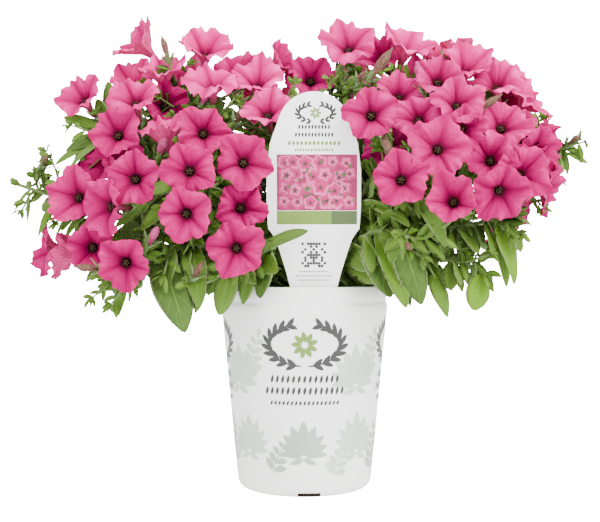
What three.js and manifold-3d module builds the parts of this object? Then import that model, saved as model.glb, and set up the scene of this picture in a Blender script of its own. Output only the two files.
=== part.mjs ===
// A flowering petunia in its white plastic nursery pot: the pot, the potting soil, a label stake,
// ten leafy stems from one crown, and the pink trumpet flowers that they carry.
// Millimetres, +Z up, -Y towards the side with the label. The origin is the centre of the pot's base.
import * as THREE from "three";
import { mergeVertices } from "three/addons/utils/BufferGeometryUtils.js";
import Module from "manifold-3d";

const wasm = await Module();
wasm.setup();

// Pot and soil
const POT_HEIGHT = 130;
const COLLAR_RADIUS = 54;
const RIM_RADIUS = 51.6;
const FOOT_RADIUS = 43.6;
const FLAT_BASE_RADIUS = 38;
const POT_WALL = 1.5;
const POT_FLOOR = 2.4;
const POT_SIDES = 30;
const DRAIN_SLOTS = 4;
const DRAIN_SLOT_WIDTH = 14;
const DRAIN_SLOT_HEIGHT = 3.2;
const DRAIN_SLOT_TURN = 0.1;
const SOIL_LEVEL = 119;
const SOIL_SIDES = 18;
const SOIL_LUMP = 1.1;
const CLEARANCE = 0.4;

// Label stake
const LABEL_THICKNESS = 0.7;
const LABEL_TOP = 249;
const LABEL_FOOT = 88;
const LABEL_HALF_WIDTH = 28.7;
const LABEL_HEAD_RADIUS = 22;
const LABEL_X = 5.5;
const LABEL_Y = -43.4;
const LABEL_LEAN = THREE.MathUtils.degToRad(4);
const STAKE_WIDTH_IN_SOIL = 28;

// Petunia flower
const TUBE_LENGTH = 22;
const TUBE_FOOT_RADIUS = 1.5;
const THROAT_RADIUS = 3.1;
const THROAT_DEPTH = 9;
const PETAL_THICKNESS = 0.8;
const LOBES = 5;
const CALYX_GAP = 0.35;
const CALYX_RADIUS = 2.3;
const CALYX_LENGTH = 2.4;
const SEPAL_REACH = 6.5;
const SEPAL_RISE = 5;

// Stems and leaves
const CROWN_RADIUS = 3;
const HOLE_DEPTH = 12;
const FORK_LEVEL = SOIL_LEVEL + 3;
const STEM_ROOT_RADIUS = 2.3;
const STEM_TIP_RADIUS = 1.1;
const STEM_STEPS = 7;
const STALK_RADIUS = 1.0;
const LEAF_THICKNESS = 1.0;
const LEAF_FOLD = 0.15;
const BROAD_WIDTH = 13.5;
const LEAF_SPACING = 27;
const FIRST_LEAF = 38;
const LAST_ROOT = 0.97;
const LEAF_LENGTHS = [38, 20];
const LEAF_ASPECT = 0.46;
const GOLDEN_ANGLE = THREE.MathUtils.degToRad(137.5);
const BROAD_DROOP = 0.35;
const SEED = 20711;
const SHORTEST_EDGE = 0.05;

// Room kept between the pieces of the plant
const HOLDER_GAP = 1;
const LABEL_SHOULDER_LEVEL = 133;
const LABEL_NECK_HALF_WIDTH = 16;
const LABEL_SHOULDER_SLOPE = 0.42;
const ROOT_RADIUS = 9;
const FLOWER_OWNER = 100;
const STALK_STARTS = 20;
const STALK_TRIES = 80;

const MATERIALS = {
  pot: new THREE.MeshStandardMaterial({ color: "#eeeeec", roughness: 0.35, metalness: 0 }),
  soil: new THREE.MeshStandardMaterial({ color: "#2a1f17", roughness: 0.95, metalness: 0 }),
  label: new THREE.MeshStandardMaterial({ color: "#f2f1ef", roughness: 0.4, metalness: 0 }),
  foliage: new THREE.MeshStandardMaterial({ color: "#4c7a2e", roughness: 0.6, metalness: 0 }),
  petal: new THREE.MeshStandardMaterial({ color: "#e0448a", roughness: 0.55, metalness: 0 }),
};

// The flowers seen from the label's side: the middle of each face, the way it looks (its turn to
// the right of -Y and its tilt upwards, in degrees), its diameter, and how far its lobes cup forwards.
const FRONT_FLOWERS = [
  { at: [-145, -10, 253], turn: -25, tilt: 33, size: 34, cup: 0.1 },
  { at: [-106, -35, 249], turn: -5, tilt: 42, size: 36, cup: 0.0 },
  { at: [-110, 12, 291], turn: -58, tilt: 38, size: 34, cup: 0.3 },
  { at: [-65, 2, 286], turn: 6, tilt: 44, size: 38, cup: 0.2 },
  { at: [-58, -30, 259], turn: 0, tilt: 52, size: 37, cup: 0.0 },
  { at: [-92, -8, 268], turn: -12, tilt: 60, size: 33, cup: 0.2 },
  { at: [-115, -55, 224], turn: -10, tilt: 14, size: 34, cup: 0.0 },
  { at: [-101, -76, 195], turn: -8, tilt: 6, size: 34, cup: 0.1 },
  { at: [-61, -60, 224], turn: 4, tilt: 10, size: 32, cup: 0.1 },
  { at: [-67, -88, 199], turn: 0, tilt: 8, size: 35, cup: 0.0 },
  { at: [-35, -73, 205], turn: 12, tilt: 8, size: 35, cup: 0.0 },
  { at: [-69, -92, 172], turn: -5, tilt: -10, size: 33, cup: 0.1 },
  { at: [-37, -71, 178], turn: 10, tilt: 5, size: 31, cup: 0.0 },
  { at: [-40, -84, 153], turn: 0, tilt: -4, size: 36, cup: 0.0 },
  { at: [-106, -80, 144], turn: -8, tilt: -8, size: 32, cup: 0.1 },
  { at: [-130, -60, 154], turn: -14, tilt: 0, size: 29, cup: 0.1 },
  { at: [-141, -52, 186], turn: -24, tilt: 10, size: 38, cup: 0.2 },
  { at: [-119, -76, 178], turn: -42, tilt: 0, size: 36, cup: 0.2 },
  { at: [-168, -14, 154], turn: -66, tilt: 0, size: 34, cup: 0.2 },
  { at: [-150, -42, 150], turn: -96, tilt: 12, size: 30, cup: 0.1 },
  { at: [-31, -13, 263], turn: -4, tilt: 44, size: 35, cup: 0.2 },
  { at: [-24, -36, 241], turn: -8, tilt: 38, size: 35, cup: 0.0 },
  { at: [-13, 2, 277], turn: 66, tilt: 30, size: 32, cup: 0.2 },
  { at: [-86, -46, 225], turn: -20, tilt: 66, size: 28, cup: 0.4 },
  { at: [28, -5, 288], turn: -6, tilt: 38, size: 39, cup: 0.2 },
  { at: [39, -67, 234], turn: -5, tilt: 10, size: 33, cup: 0.0 },
  { at: [68, 8, 288], turn: 28, tilt: 52, size: 36, cup: 0.3 },
  { at: [50, 16, 284], turn: -28, tilt: 30, size: 32, cup: 0.2 },
  { at: [94, -50, 244], turn: 6, tilt: 28, size: 34, cup: 0.1 },
  { at: [78, -82, 212], turn: 3, tilt: 8, size: 38, cup: 0.0 },
  { at: [55, -85, 194], turn: -8, tilt: 8, size: 33, cup: 0.0 },
  { at: [83, -96, 181], turn: -15, tilt: 12, size: 29, cup: 0.6 },
  { at: [111, -60, 208], turn: -8, tilt: 14, size: 33, cup: 0.1 },
  { at: [131, -62, 199], turn: 12, tilt: 10, size: 37, cup: 0.0 },
  { at: [122, -44, 231], turn: 5, tilt: 28, size: 34, cup: 0.1 },
  { at: [121, -20, 261], turn: -18, tilt: 42, size: 37, cup: 0.1 },
  { at: [147, -2, 251], turn: 56, tilt: 38, size: 37, cup: 0.1 },
  { at: [104, 8, 279], turn: 120, tilt: 48, size: 36, cup: 0.1 },
  { at: [61, -24, 254], turn: 10, tilt: 35, size: 34, cup: 0.0 },
  { at: [68, -46, 236], turn: -18, tilt: 28, size: 34, cup: 0.0 },
  { at: [152, -26, 220], turn: 58, tilt: -8, size: 34, cup: 0.1 },
  { at: [116, -73, 185], turn: 6, tilt: -22, size: 36, cup: 0.1 },
  { at: [154, -36, 189], turn: 66, tilt: -16, size: 34, cup: 0.1 },
  { at: [4, 0, 267], turn: 0, tilt: 24, size: 32, cup: 0.1 },
];

// The flowers on the far side stand in bunches of three on a dome: the way out of the dome to each
// bunch, as its turn to the right of -Y and its tilt upwards, in degrees. Their petals touch.
const DOME_CENTRE = [-4, -5, 185];
const DOME_RADII = [156, 112, 102];
const DOME_BUNCHES = [
  { turn: 114, tilt: -3 },
  { turn: 140, tilt: 26 },
  { turn: 172, tilt: 2 },
  { turn: 190, tilt: 44 },
  { turn: 214, tilt: 6 },
  { turn: 240, tilt: 26 },
];
const BUNCH_FLOWERS = 3;
const BUNCH_RADIUS = 15.5;
const BUNCH_SIZES = [32, 36];

// Each leafy stem forks just above the soil: its shoots arch from one foot to their own tips.
// A shoot is a cubic curve from the fork: two points that draw it, and its tip.
const LEAFY_STEMS = [
  {
    foot: [-17, -14],
    shoots: [
      [[-40, -30, 165], [-80, -50, 165], [-114, -46, 136]],
      [[-30, -25, 160], [-60, -45, 190], [-92, -46, 200]],
      [[-18, -25, 145], [-28, -45, 152], [-46, -58, 140]],
    ],
  },
  {
    foot: [-21, 0],
    shoots: [
      [[-60, -10, 170], [-120, -15, 172], [-186, -18, 196]],
      [[-50, -5, 180], [-90, -8, 215], [-128, -10, 226]],
    ],
  },
  {
    foot: [-15, 12],
    shoots: [
      [[-30, 8, 180], [-60, 8, 225], [-84, 4, 258]],
      [[-28, -2, 180], [-50, -15, 215], [-62, -20, 234]],
    ],
  },
  {
    foot: [-2, 18],
    shoots: [
      [[-6, 5, 180], [-16, -2, 215], [-20, -4, 236]],
      [[4, 8, 190], [12, 8, 235], [18, 2, 260]],
    ],
  },
  {
    foot: [14, 12],
    shoots: [
      [[30, 12, 180], [55, 12, 230], [74, 8, 262]],
      [[35, 5, 180], [70, 0, 225], [104, -8, 246]],
    ],
  },
  {
    foot: [17, -14],
    shoots: [
      [[22, -22, 165], [36, -34, 195], [52, -42, 208]],
      [[30, -25, 165], [62, -40, 190], [88, -50, 196]],
      [[22, -28, 158], [42, -50, 174], [66, -62, 158]],
    ],
  },
  {
    foot: [21, 0],
    shoots: [
      [[60, -5, 170], [120, -8, 190], [176, -10, 224]],
      [[50, -15, 165], [90, -35, 165], [130, -42, 174]],
      [[45, -10, 150], [80, -40, 155], [112, -48, 138]],
    ],
  },
  {
    foot: [16, 26],
    shoots: [
      [[40, 38, 175], [85, 60, 195], [112, 70, 178]],
      [[30, 38, 190], [60, 52, 240], [78, 46, 256]],
    ],
  },
  {
    foot: [0, 32],
    shoots: [
      [[2, 48, 180], [-5, 75, 200], [0, 92, 176]],
      [[-5, 40, 200], [-10, 50, 240], [-12, 48, 258]],
    ],
  },
  {
    foot: [-17, 26],
    shoots: [
      [[-40, 38, 175], [-85, 60, 195], [-112, 68, 176]],
      [[-35, 34, 190], [-65, 48, 235], [-82, 44, 252]],
    ],
  },
];

// The broad old leaves that hang over the rim: the stem and shoot that carries each one, how far
// along the shoot it grows, where its tip hangs, and the width of its blade.
const BROAD_LEAVES = [
  { stem: 0, shoot: 0, along: 0.78, tip: [-70, -76, 104], width: 24 },
  { stem: 0, shoot: 0, along: 0.58, tip: [-62, -72, 118], width: 14 },
  { stem: 0, shoot: 0, along: 0.97, tip: [-112, -56, 113], width: 10 },
  { stem: 0, shoot: 2, along: 0.97, tip: [-50, -72, 114], width: 14 },
  { stem: 0, shoot: 2, along: 0.45, tip: [-26, -64, 124], width: 14 },
  { stem: 0, shoot: 2, along: 0.85, tip: [2, -61, 164], width: 8 },
  { stem: 1, shoot: 1, along: 0.97, tip: [-146, -36, 203], width: 11 },
  { stem: 1, shoot: 0, along: 0.45, tip: [-78, -14, 118], width: 14 },
  { stem: 5, shoot: 2, along: 0.52, tip: [51, -62, 124], width: 19 },
  { stem: 5, shoot: 2, along: 0.65, tip: [60, -68, 118], width: 15 },
  { stem: 5, shoot: 2, along: 0.85, tip: [69, -68, 120], width: 20 },
  { stem: 5, shoot: 1, along: 0.72, tip: [82, -74, 154], width: 16 },
  { stem: 5, shoot: 0, along: 0.6, tip: [62, -66, 166], width: 14 },
  { stem: 6, shoot: 2, along: 0.6, tip: [85, -62, 112], width: 15 },
  { stem: 6, shoot: 2, along: 0.8, tip: [93, -62, 131], width: 11 },
  { stem: 6, shoot: 2, along: 0.97, tip: [102, -54, 116], width: 16 },
  { stem: 6, shoot: 1, along: 0.9, tip: [122, -52, 130], width: 17 },
  { stem: 7, shoot: 0, along: 0.6, tip: [84, 74, 128], width: 16 },
  { stem: 8, shoot: 0, along: 0.8, tip: [12, 96, 130], width: 15 },
  { stem: 9, shoot: 0, along: 0.6, tip: [-82, 74, 128], width: 16 },
];

const Z_AXIS = new THREE.Vector3(0, 0, 1);
const Y_AXIS = new THREE.Vector3(0, 1, 0);
const vec = (values) => new THREE.Vector3(...values);
const mix = (from, to, share) => from + (to - from) * share;

// A repeatable stream of numbers from 0 to 1.
let streamState = SEED;
function next() {
  streamState = (streamState * 16807) % 2147483647;
  return streamState / 2147483647;
}

// The unit vector that looks `turn` degrees to the right of -Y and `tilt` above the horizon.
function facing(turn, tilt) {
  const t = THREE.MathUtils.degToRad(turn);
  const e = THREE.MathUtils.degToRad(tilt);
  return new THREE.Vector3(Math.sin(t) * Math.cos(e), -Math.cos(t) * Math.cos(e), Math.sin(e));
}

// Solids from points and triangles, from a closed geometry, and back to a geometry.
function solidFrom(points, triangles) {
  const solid = new wasm.Manifold(
    new wasm.Mesh({
      numProp: 3,
      vertProperties: new Float32Array(points.flatMap((p) => [p.x, p.y, p.z])),
      triVerts: new Uint32Array(triangles.flat()),
    }),
  );
  if (solid.volume() <= 0) throw new Error("a solid's faces point inwards");
  return solid;
}

function solidOf(geometry) {
  geometry.deleteAttribute("normal");
  geometry.deleteAttribute("uv");
  const merged = mergeVertices(geometry, 1e-4);
  const index = merged.index.array;
  const triangles = [];
  for (let i = 0; i < index.length; i += 3) {
    const [a, b, c] = [index[i], index[i + 1], index[i + 2]];
    if (a !== b && b !== c && c !== a) triangles.push([a, b, c]);
  }
  const position = merged.getAttribute("position");
  const points = [];
  for (let i = 0; i < position.count; i++) {
    points.push(new THREE.Vector3().fromBufferAttribute(position, i));
  }
  return solidFrom(points, triangles);
}

// Joins pieces in one body. A hollow that the join seals is filled, and a loose scrap is dropped.
function joined(pieces) {
  const shells = wasm.Manifold.union(pieces).simplify(SHORTEST_EDGE).decompose();
  shells.sort((a, b) => b.volume() - a.volume());
  return shells[0];
}

function geometryOf(solid) {
  const mesh = solid.getMesh();
  const values = new Float32Array(mesh.numVert * 3);
  for (let i = 0; i < mesh.numVert; i++) {
    const start = i * mesh.numProp;
    values.set(mesh.vertProperties.subarray(start, start + 3), i * 3);
  }
  const geometry = new THREE.BufferGeometry();
  geometry.setAttribute("position", new THREE.BufferAttribute(values, 3));
  geometry.setIndex(new THREE.BufferAttribute(mesh.triVerts, 1));
  geometry.computeVertexNormals();
  return geometry;
}

// A profile of (radius, height) points turned about +Z.
function turned(profile, sides) {
  const outline = profile.map(([r, z]) => new THREE.Vector2(r, z));
  return solidOf(new THREE.LatheGeometry(outline, sides).rotateX(Math.PI / 2));
}

// A skin over rings of equally many points, closed at both ends.
function loft(rings) {
  const n = rings[0].length;
  const end = (rings.length - 1) * n;
  const triangles = [];
  for (let k = 1; k < n - 1; k++) {
    triangles.push([0, k + 1, k], [end, end + k, end + k + 1]);
  }
  for (let start = 0; start < end; start += n) {
    for (let k = 0; k < n; k++) {
      const a = start + k;
      const b = start + ((k + 1) % n);
      triangles.push([a, b, b + n], [a, b + n, a + n]);
    }
  }
  return solidFrom(rings.flat(), triangles);
}

// The two directions across a stem that runs along `tangent`.
function across(tangent) {
  const reference = Math.abs(tangent.z) > 0.9 ? Y_AXIS : Z_AXIS;
  const side = tangent.clone().cross(reference).normalize();
  return [side, side.clone().cross(tangent)];
}

// A tapering rod along a curve.
function rod(curve, steps, sides, startRadius, endRadius) {
  const [side, up] = across(curve.getPoint(1).sub(curve.getPoint(0)).normalize());
  const rings = [];
  for (let i = 0; i <= steps; i++) {
    const centre = curve.getPoint(i / steps);
    const tangent = curve.getTangent(i / steps);
    side.addScaledVector(tangent, -side.dot(tangent)).normalize();
    up.crossVectors(side, tangent);
    const radius = mix(startRadius, endRadius, i / steps);
    const ring = [];
    for (let k = 0; k < sides; k++) {
      const angle = -(2 * Math.PI * k) / sides;
      const offset = side.clone().multiplyScalar(Math.cos(angle)).addScaledVector(up, Math.sin(angle));
      ring.push(centre.clone().addScaledVector(offset, radius));
    }
    rings.push(ring);
  }
  return loft(rings);
}

// The pot: a tapered wall under a soft collar, a flat base, and drain slots in the foot.
function potSolid() {
  const inner = (radius) => radius - POT_WALL;
  const shell = turned(
    [
      [0, 0],
      [FLAT_BASE_RADIUS, 0],
      [FOOT_RADIUS - 2.6, 1.2],
      [FOOT_RADIUS - 0.6, 4],
      [FOOT_RADIUS, 8],
      [COLLAR_RADIUS - 0.9, POT_HEIGHT - 20],
      [COLLAR_RADIUS, POT_HEIGHT - 15],
      [COLLAR_RADIUS - 0.3, POT_HEIGHT - 9],
      [RIM_RADIUS, POT_HEIGHT - 0.6],
      [RIM_RADIUS - 0.7, POT_HEIGHT],
      [inner(RIM_RADIUS), POT_HEIGHT - 0.8],
      [inner(COLLAR_RADIUS), POT_HEIGHT - 15],
      [inner(FOOT_RADIUS), 8],
      [FLAT_BASE_RADIUS, POT_FLOOR],
      [0, POT_FLOOR],
    ],
    POT_SIDES,
  );
  const depth = 14;
  const slots = [];
  for (let i = 0; i < DRAIN_SLOTS; i++) {
    const slot = new THREE.BoxGeometry(DRAIN_SLOT_WIDTH, depth, DRAIN_SLOT_HEIGHT + 1);
    slot.translate(0, -(FLAT_BASE_RADIUS + 1 + depth / 2), (DRAIN_SLOT_HEIGHT - 1) / 2);
    slot.rotateZ((2 * Math.PI * i) / DRAIN_SLOTS + DRAIN_SLOT_TURN);
    slots.push(solidOf(slot));
  }
  return shell.subtract(wasm.Manifold.union(slots));
}

// The root ball: it fills the pot up to a slightly crumbly, domed top, and keeps a hole for each
// stem and a slot for the stake.
function soilSolid() {
  const wallAt = (z) => {
    const share = (z - 8) / (POT_HEIGHT - 15 - 8);
    return mix(FOOT_RADIUS, COLLAR_RADIUS, share) - POT_WALL - CLEARANCE;
  };
  const ball = turned(
    [
      [0, POT_FLOOR + CLEARANCE],
      [FLAT_BASE_RADIUS - 2, POT_FLOOR + CLEARANCE],
      [wallAt(8) - 0.2, 9],
      [wallAt(POT_HEIGHT - 15) - 0.3, POT_HEIGHT - 15],
      [wallAt(POT_HEIGHT - 15) - 3, SOIL_LEVEL - 1.5],
      [34, SOIL_LEVEL],
      [17, SOIL_LEVEL + 0.8],
      [0, SOIL_LEVEL + 1.2],
    ],
    SOIL_SIDES,
  ).warp((p) => {
    if (p[2] > SOIL_LEVEL - 2) p[2] += SOIL_LUMP * Math.sin(0.31 * p[0] + 1) * Math.cos(0.27 * p[1]);
  });
  const depth = SOIL_LEVEL + 8 - LABEL_FOOT;
  const slot = new THREE.BoxGeometry(STAKE_WIDTH_IN_SOIL, depth, LABEL_THICKNESS + 2 * CLEARANCE);
  const gaps = [solidOf(standLabel(slot.translate(0, LABEL_FOOT - CLEARANCE + depth / 2, 0)))];
  for (const { foot } of LEAFY_STEMS) {
    const hole = new THREE.CylinderGeometry(CROWN_RADIUS + 0.8, CROWN_RADIUS + 0.8, 2 * HOLE_DEPTH, 6);
    hole.rotateX(Math.PI / 2).translate(foot[0], foot[1], SOIL_LEVEL - CLEARANCE);
    gaps.push(solidOf(hole));
  }
  return ball.subtract(wasm.Manifold.union(gaps));
}

// The label: a pointed foot in the soil, cut-in shoulders and a round head. It leans forwards.
function labelOutline() {
  const side = [
    [3, LABEL_FOOT],
    [9.5, LABEL_FOOT + 10],
    [13.4, 122],
    [14.8, 133],
    [22.6, 158],
    [25.2, 162.5],
    [LABEL_HALF_WIDTH, 167],
    [LABEL_HALF_WIDTH, 212],
  ];
  const shoulder = 0.3;
  const outline = new THREE.Shape();
  outline.moveTo(...side[0]);
  side.slice(1).forEach((point) => outline.lineTo(...point));
  outline.absarc(0, LABEL_TOP - LABEL_HEAD_RADIUS, LABEL_HEAD_RADIUS, shoulder, Math.PI - shoulder, false);
  side.slice().reverse().forEach(([x, z]) => outline.lineTo(-x, z));
  return outline;
}

function standLabel(geometry) {
  return geometry
    .rotateX(Math.PI / 2)
    .translate(0, 0, -SOIL_LEVEL)
    .rotateX(LABEL_LEAN)
    .translate(LABEL_X, LABEL_Y, SOIL_LEVEL);
}

function labelSolid() {
  const plate = new THREE.ExtrudeGeometry(labelOutline(), {
    depth: LABEL_THICKNESS,
    bevelEnabled: false,
    curveSegments: 10,
  });
  return solidOf(standLabel(plate.translate(0, 0, -LABEL_THICKNESS / 2)));
}

// The plan of the plant. What is already placed is kept as balls, each with its owner: the number
// of a stem, or a flower's own number after FLOWER_OWNER.
const balls = [];

function placeBalls(owner, list) {
  list.forEach(([centre, radius]) => balls.push({ centre, radius, owner }));
}

// Whether a ball keeps clear of the pot, the soil and the label.
function isOffHolder(p, radius) {
  const fromAxis = Math.hypot(p.x, p.y);
  const overRim = p.z > POT_HEIGHT + 1.5 * HOLDER_GAP + radius;
  const inside = fromAxis < RIM_RADIUS - POT_WALL - 1.5 * HOLDER_GAP - radius;
  const outside = fromAxis > COLLAR_RADIUS + HOLDER_GAP + radius;
  if (!overRim && !inside && !outside) return false;
  if (!outside && p.z < SOIL_LEVEL + 3 * HOLDER_GAP + radius) return false;
  const labelY = LABEL_Y - (p.z - SOIL_LEVEL) * Math.tan(LABEL_LEAN);
  const widening = LABEL_SHOULDER_SLOPE * Math.max(0, p.z - LABEL_SHOULDER_LEVEL);
  const halfWidth = Math.min(LABEL_HALF_WIDTH, LABEL_NECK_HALF_WIDTH + widening);
  const besideLabel = Math.abs(p.x - LABEL_X) > halfWidth + HOLDER_GAP + radius;
  const offPlate = Math.abs(p.y - labelY) > 1.5 * HOLDER_GAP + radius;
  return besideLabel || offPlate || p.z > LABEL_TOP + HOLDER_GAP + radius;
}

// Whether all balls of a new piece keep clear of the holder and of everything placed so far, apart
// from its own flower and what stands round the root that it grows from.
function isFree(list, root, ownFlower = -1) {
  const others = balls.filter((b) => b.owner !== ownFlower && b.centre.distanceTo(root) > ROOT_RADIUS);
  return list.every(([p, radius]) =>
    isOffHolder(p, radius) && others.every((b) => b.centre.distanceTo(p) > b.radius + radius));
}

// A flower is an axis frame: its face looks along `axis`, and its first lobe points along `right`.
function planFlower(at, axis, size, cup) {
  const roll = 2 * Math.PI * next();
  const wave = 2 * Math.PI * next();
  const level = Z_AXIS.clone().cross(axis).normalize();
  const upright = axis.clone().cross(level);
  const right = level.multiplyScalar(Math.cos(roll)).addScaledVector(upright, Math.sin(roll));
  const up = axis.clone().cross(right);
  return { at, axis, right, up, wave, cup, radius: size / 2 };
}

function planFlowers() {
  const flowers = FRONT_FLOWERS.map((f) => planFlower(vec(f.at), facing(f.turn, f.tilt), f.size, f.cup));
  for (const bunch of DOME_BUNCHES) {
    const out = facing(bunch.turn, bunch.tilt);
    const centre = vec(DOME_CENTRE).add(out.clone().multiply(vec(DOME_RADII)));
    const outwards = out.clone().divide(vec(DOME_RADII)).normalize();
    const level = Z_AXIS.clone().cross(outwards).normalize();
    const upright = outwards.clone().cross(level);
    const phase = 2 * Math.PI * next();
    for (let i = 0; i < BUNCH_FLOWERS; i++) {
      const angle = phase + (2 * Math.PI * i) / BUNCH_FLOWERS;
      const away = level.clone().multiplyScalar(Math.cos(angle)).addScaledVector(upright, Math.sin(angle));
      const at = centre.clone().addScaledVector(away, BUNCH_RADIUS).addScaledVector(outwards, -i);
      const axis = outwards.clone().addScaledVector(away, 0.18).normalize();
      flowers.push(planFlower(at, axis, mix(...BUNCH_SIZES, next()), 0.15 * next()));
    }
  }
  return flowers;
}

// A point of a flower, from its own radius, angle and height along its axis.
function flowerPoint(flower, r, angle, height) {
  return flower.at.clone()
    .addScaledVector(flower.right, r * Math.cos(angle))
    .addScaledVector(flower.up, r * Math.sin(angle))
    .addScaledVector(flower.axis, height);
}

function flowerBalls(flower) {
  const list = [];
  for (let k = 0; k < 10; k++) {
    list.push([flowerPoint(flower, 0.84 * flower.radius, (Math.PI * k) / 5, 1), 3.4]);
  }
  for (let k = 0; k < LOBES; k++) {
    list.push([flowerPoint(flower, 0.42 * flower.radius, (2 * Math.PI * k) / LOBES, -0.5), 3.6]);
  }
  for (const [height, radius] of [[-2, 4], [-7, 3.6], [-12, 3.2], [-17, 3]]) {
    list.push([flowerPoint(flower, 0, 0, height), radius]);
  }
  return list;
}

// A shoot bends at STEM_STEPS joints along its curve, and what it carries is rooted on that line.
function planShoots() {
  return LEAFY_STEMS.flatMap((stem, owner) =>
    stem.shoots.map((points, place) => {
      const fork = new THREE.Vector3(...stem.foot, FORK_LEVEL);
      const curve = new THREE.CubicBezierCurve3(fork, ...points.map(vec));
      const joints = curve.getPoints(STEM_STEPS);
      const spans = joints.slice(1).map((joint, i) => joint.distanceTo(joints[i]));
      const length = spans.reduce((sum, span) => sum + span, 0);
      return { owner, place, curve, joints, length, phase: 2 * Math.PI * next() };
    }),
  );
}

function onShoot(shoot, along) {
  const step = Math.min(Math.floor(along * STEM_STEPS), STEM_STEPS - 1);
  return shoot.joints[step].clone().lerp(shoot.joints[step + 1], along * STEM_STEPS - step);
}

function shootBalls(shoot) {
  const list = [[shoot.joints[0], CROWN_RADIUS + 1]];
  for (let i = 1; i <= 16; i++) {
    const radius = mix(STEM_ROOT_RADIUS, STEM_TIP_RADIUS, i / 16) + 0.5;
    list.push([onShoot(shoot, i / 16), radius]);
  }
  return list;
}

// Each flower's stalk leaves the shoot that it reaches most easily and runs clear of other flowers.
function planStalk(flower, number, shoots) {
  const foot = flowerPoint(flower, 0, 0, -TUBE_LENGTH - CALYX_GAP - CALYX_LENGTH);
  const calyx = [
    [flowerPoint(flower, 0, 0, -TUBE_LENGTH + 1), 4.5],
    [foot, 2.5],
  ];
  const starts = [];
  for (const shoot of shoots) {
    for (let i = 6; i < STALK_STARTS; i++) {
      const along = i / STALK_STARTS;
      const start = onShoot(shoot, along);
      const span = start.distanceTo(foot);
      const climb = Math.max(0, start.z - foot.z + 4);
      const ahead = Math.max(0, start.clone().sub(foot).divideScalar(span).dot(flower.axis) + 0.3);
      starts.push({ shoot, start, span, along, cost: Math.max(span, 16) + 0.8 * climb + 14 * ahead });
    }
  }
  starts.sort((a, b) => a.cost - b.cost);
  for (const { shoot, start, span, along } of starts.slice(0, STALK_TRIES)) {
    const tangent = shoot.curve.getTangent(along);
    for (const [lead, lag] of [[0.35, 0.45], [0.1, 0.6], [0.55, 0.3]]) {
      const curve = new THREE.CubicBezierCurve3(
        start,
        start.clone().addScaledVector(tangent, lead * span),
        foot.clone().addScaledVector(flower.axis, -lag * span),
        foot,
      );
      const list = [...calyx];
      for (let i = 0; i <= 10; i++) list.push([curve.getPoint(i / 10), STALK_RADIUS + 0.5]);
      if (isFree(list, start, FLOWER_OWNER + number)) {
        return { owner: shoot.owner, flower, curve, list };
      }
    }
  }
  return null;
}

// A leaf is a blade from `root` to a drooping tip. Its upper face turns to the sky.
function planLeaf(root, direction, length, width, droop) {
  const normal = Z_AXIS.clone().addScaledVector(direction, -direction.z).normalize();
  const side = direction.clone().cross(normal);
  const at = (t) =>
    root.clone()
      .addScaledVector(direction, length * t)
      .addScaledVector(Z_AXIS, -droop * length * t * t);
  return { at, side, normal, length, width };
}

function leafBalls(leaf) {
  const list = [[leaf.at(1), 1.2]];
  for (const t of [0.3, 0.55, 0.8]) {
    const half = 0.5 * leaf.width * Math.sin(Math.PI * Math.min(1, 0.2 + 0.75 * t));
    list.push([leaf.at(t), Math.min(half, 2.5)]);
    for (const hand of [-1, 1]) {
      list.push([leaf.at(t).addScaledVector(leaf.side, hand * 0.65 * half), Math.max(1.3, 0.35 * half)]);
    }
  }
  return list;
}

function planBroadLeaf(spec, shoots) {
  const shoot = shoots.find((s) => s.owner === spec.stem && s.place === spec.shoot);
  const root = onShoot(shoot, spec.along);
  const chord = vec(spec.tip).sub(root);
  const length = chord.length();
  const direction = chord.divideScalar(length).addScaledVector(Z_AXIS, BROAD_DROOP);
  return { owner: spec.stem, leaf: planLeaf(root, direction, length, spec.width, BROAD_DROOP) };
}

// Leaves grow along each shoot a golden angle apart, shorter towards its tip. One that would touch
// another piece turns round the stem or grows smaller, and where nothing fits there is none.
function planShootLeaves(shoot) {
  const found = [];
  const count = Math.floor((shoot.length - FIRST_LEAF) / LEAF_SPACING);
  for (let i = 0; i <= count; i++) {
    const along = Math.min((FIRST_LEAF + i * LEAF_SPACING) / shoot.length, LAST_ROOT);
    const root = onShoot(shoot, along);
    const tangent = shoot.curve.getTangent(along);
    const [side, up] = across(tangent);
    const full = mix(...LEAF_LENGTHS, along) * mix(0.88, 1.12, next());
    const droop = mix(0.1, 0.4, next());
    const options = [];
    for (const scale of [1, 0.75, 0.55]) {
      for (const turn of [0, 0.6, -0.6, 1.2, -1.2, 2, -2, 3]) options.push([scale, turn]);
    }
    for (const [scale, turn] of options) {
      const angle = shoot.phase + GOLDEN_ANGLE * i + turn;
      const out = side.clone().multiplyScalar(Math.cos(angle)).addScaledVector(up, Math.sin(angle));
      const direction = out.multiplyScalar(0.85).addScaledVector(tangent, 0.53).normalize();
      if (Math.abs(direction.z) > 0.85) continue;
      const leaf = planLeaf(root, direction, full * scale, full * scale * LEAF_ASPECT, droop);
      if (!isFree(leafBalls(leaf), root)) continue;
      found.push({ owner: shoot.owner, leaf });
      placeBalls(shoot.owner, leafBalls(leaf));
      break;
    }
  }
  return found;
}

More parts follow.
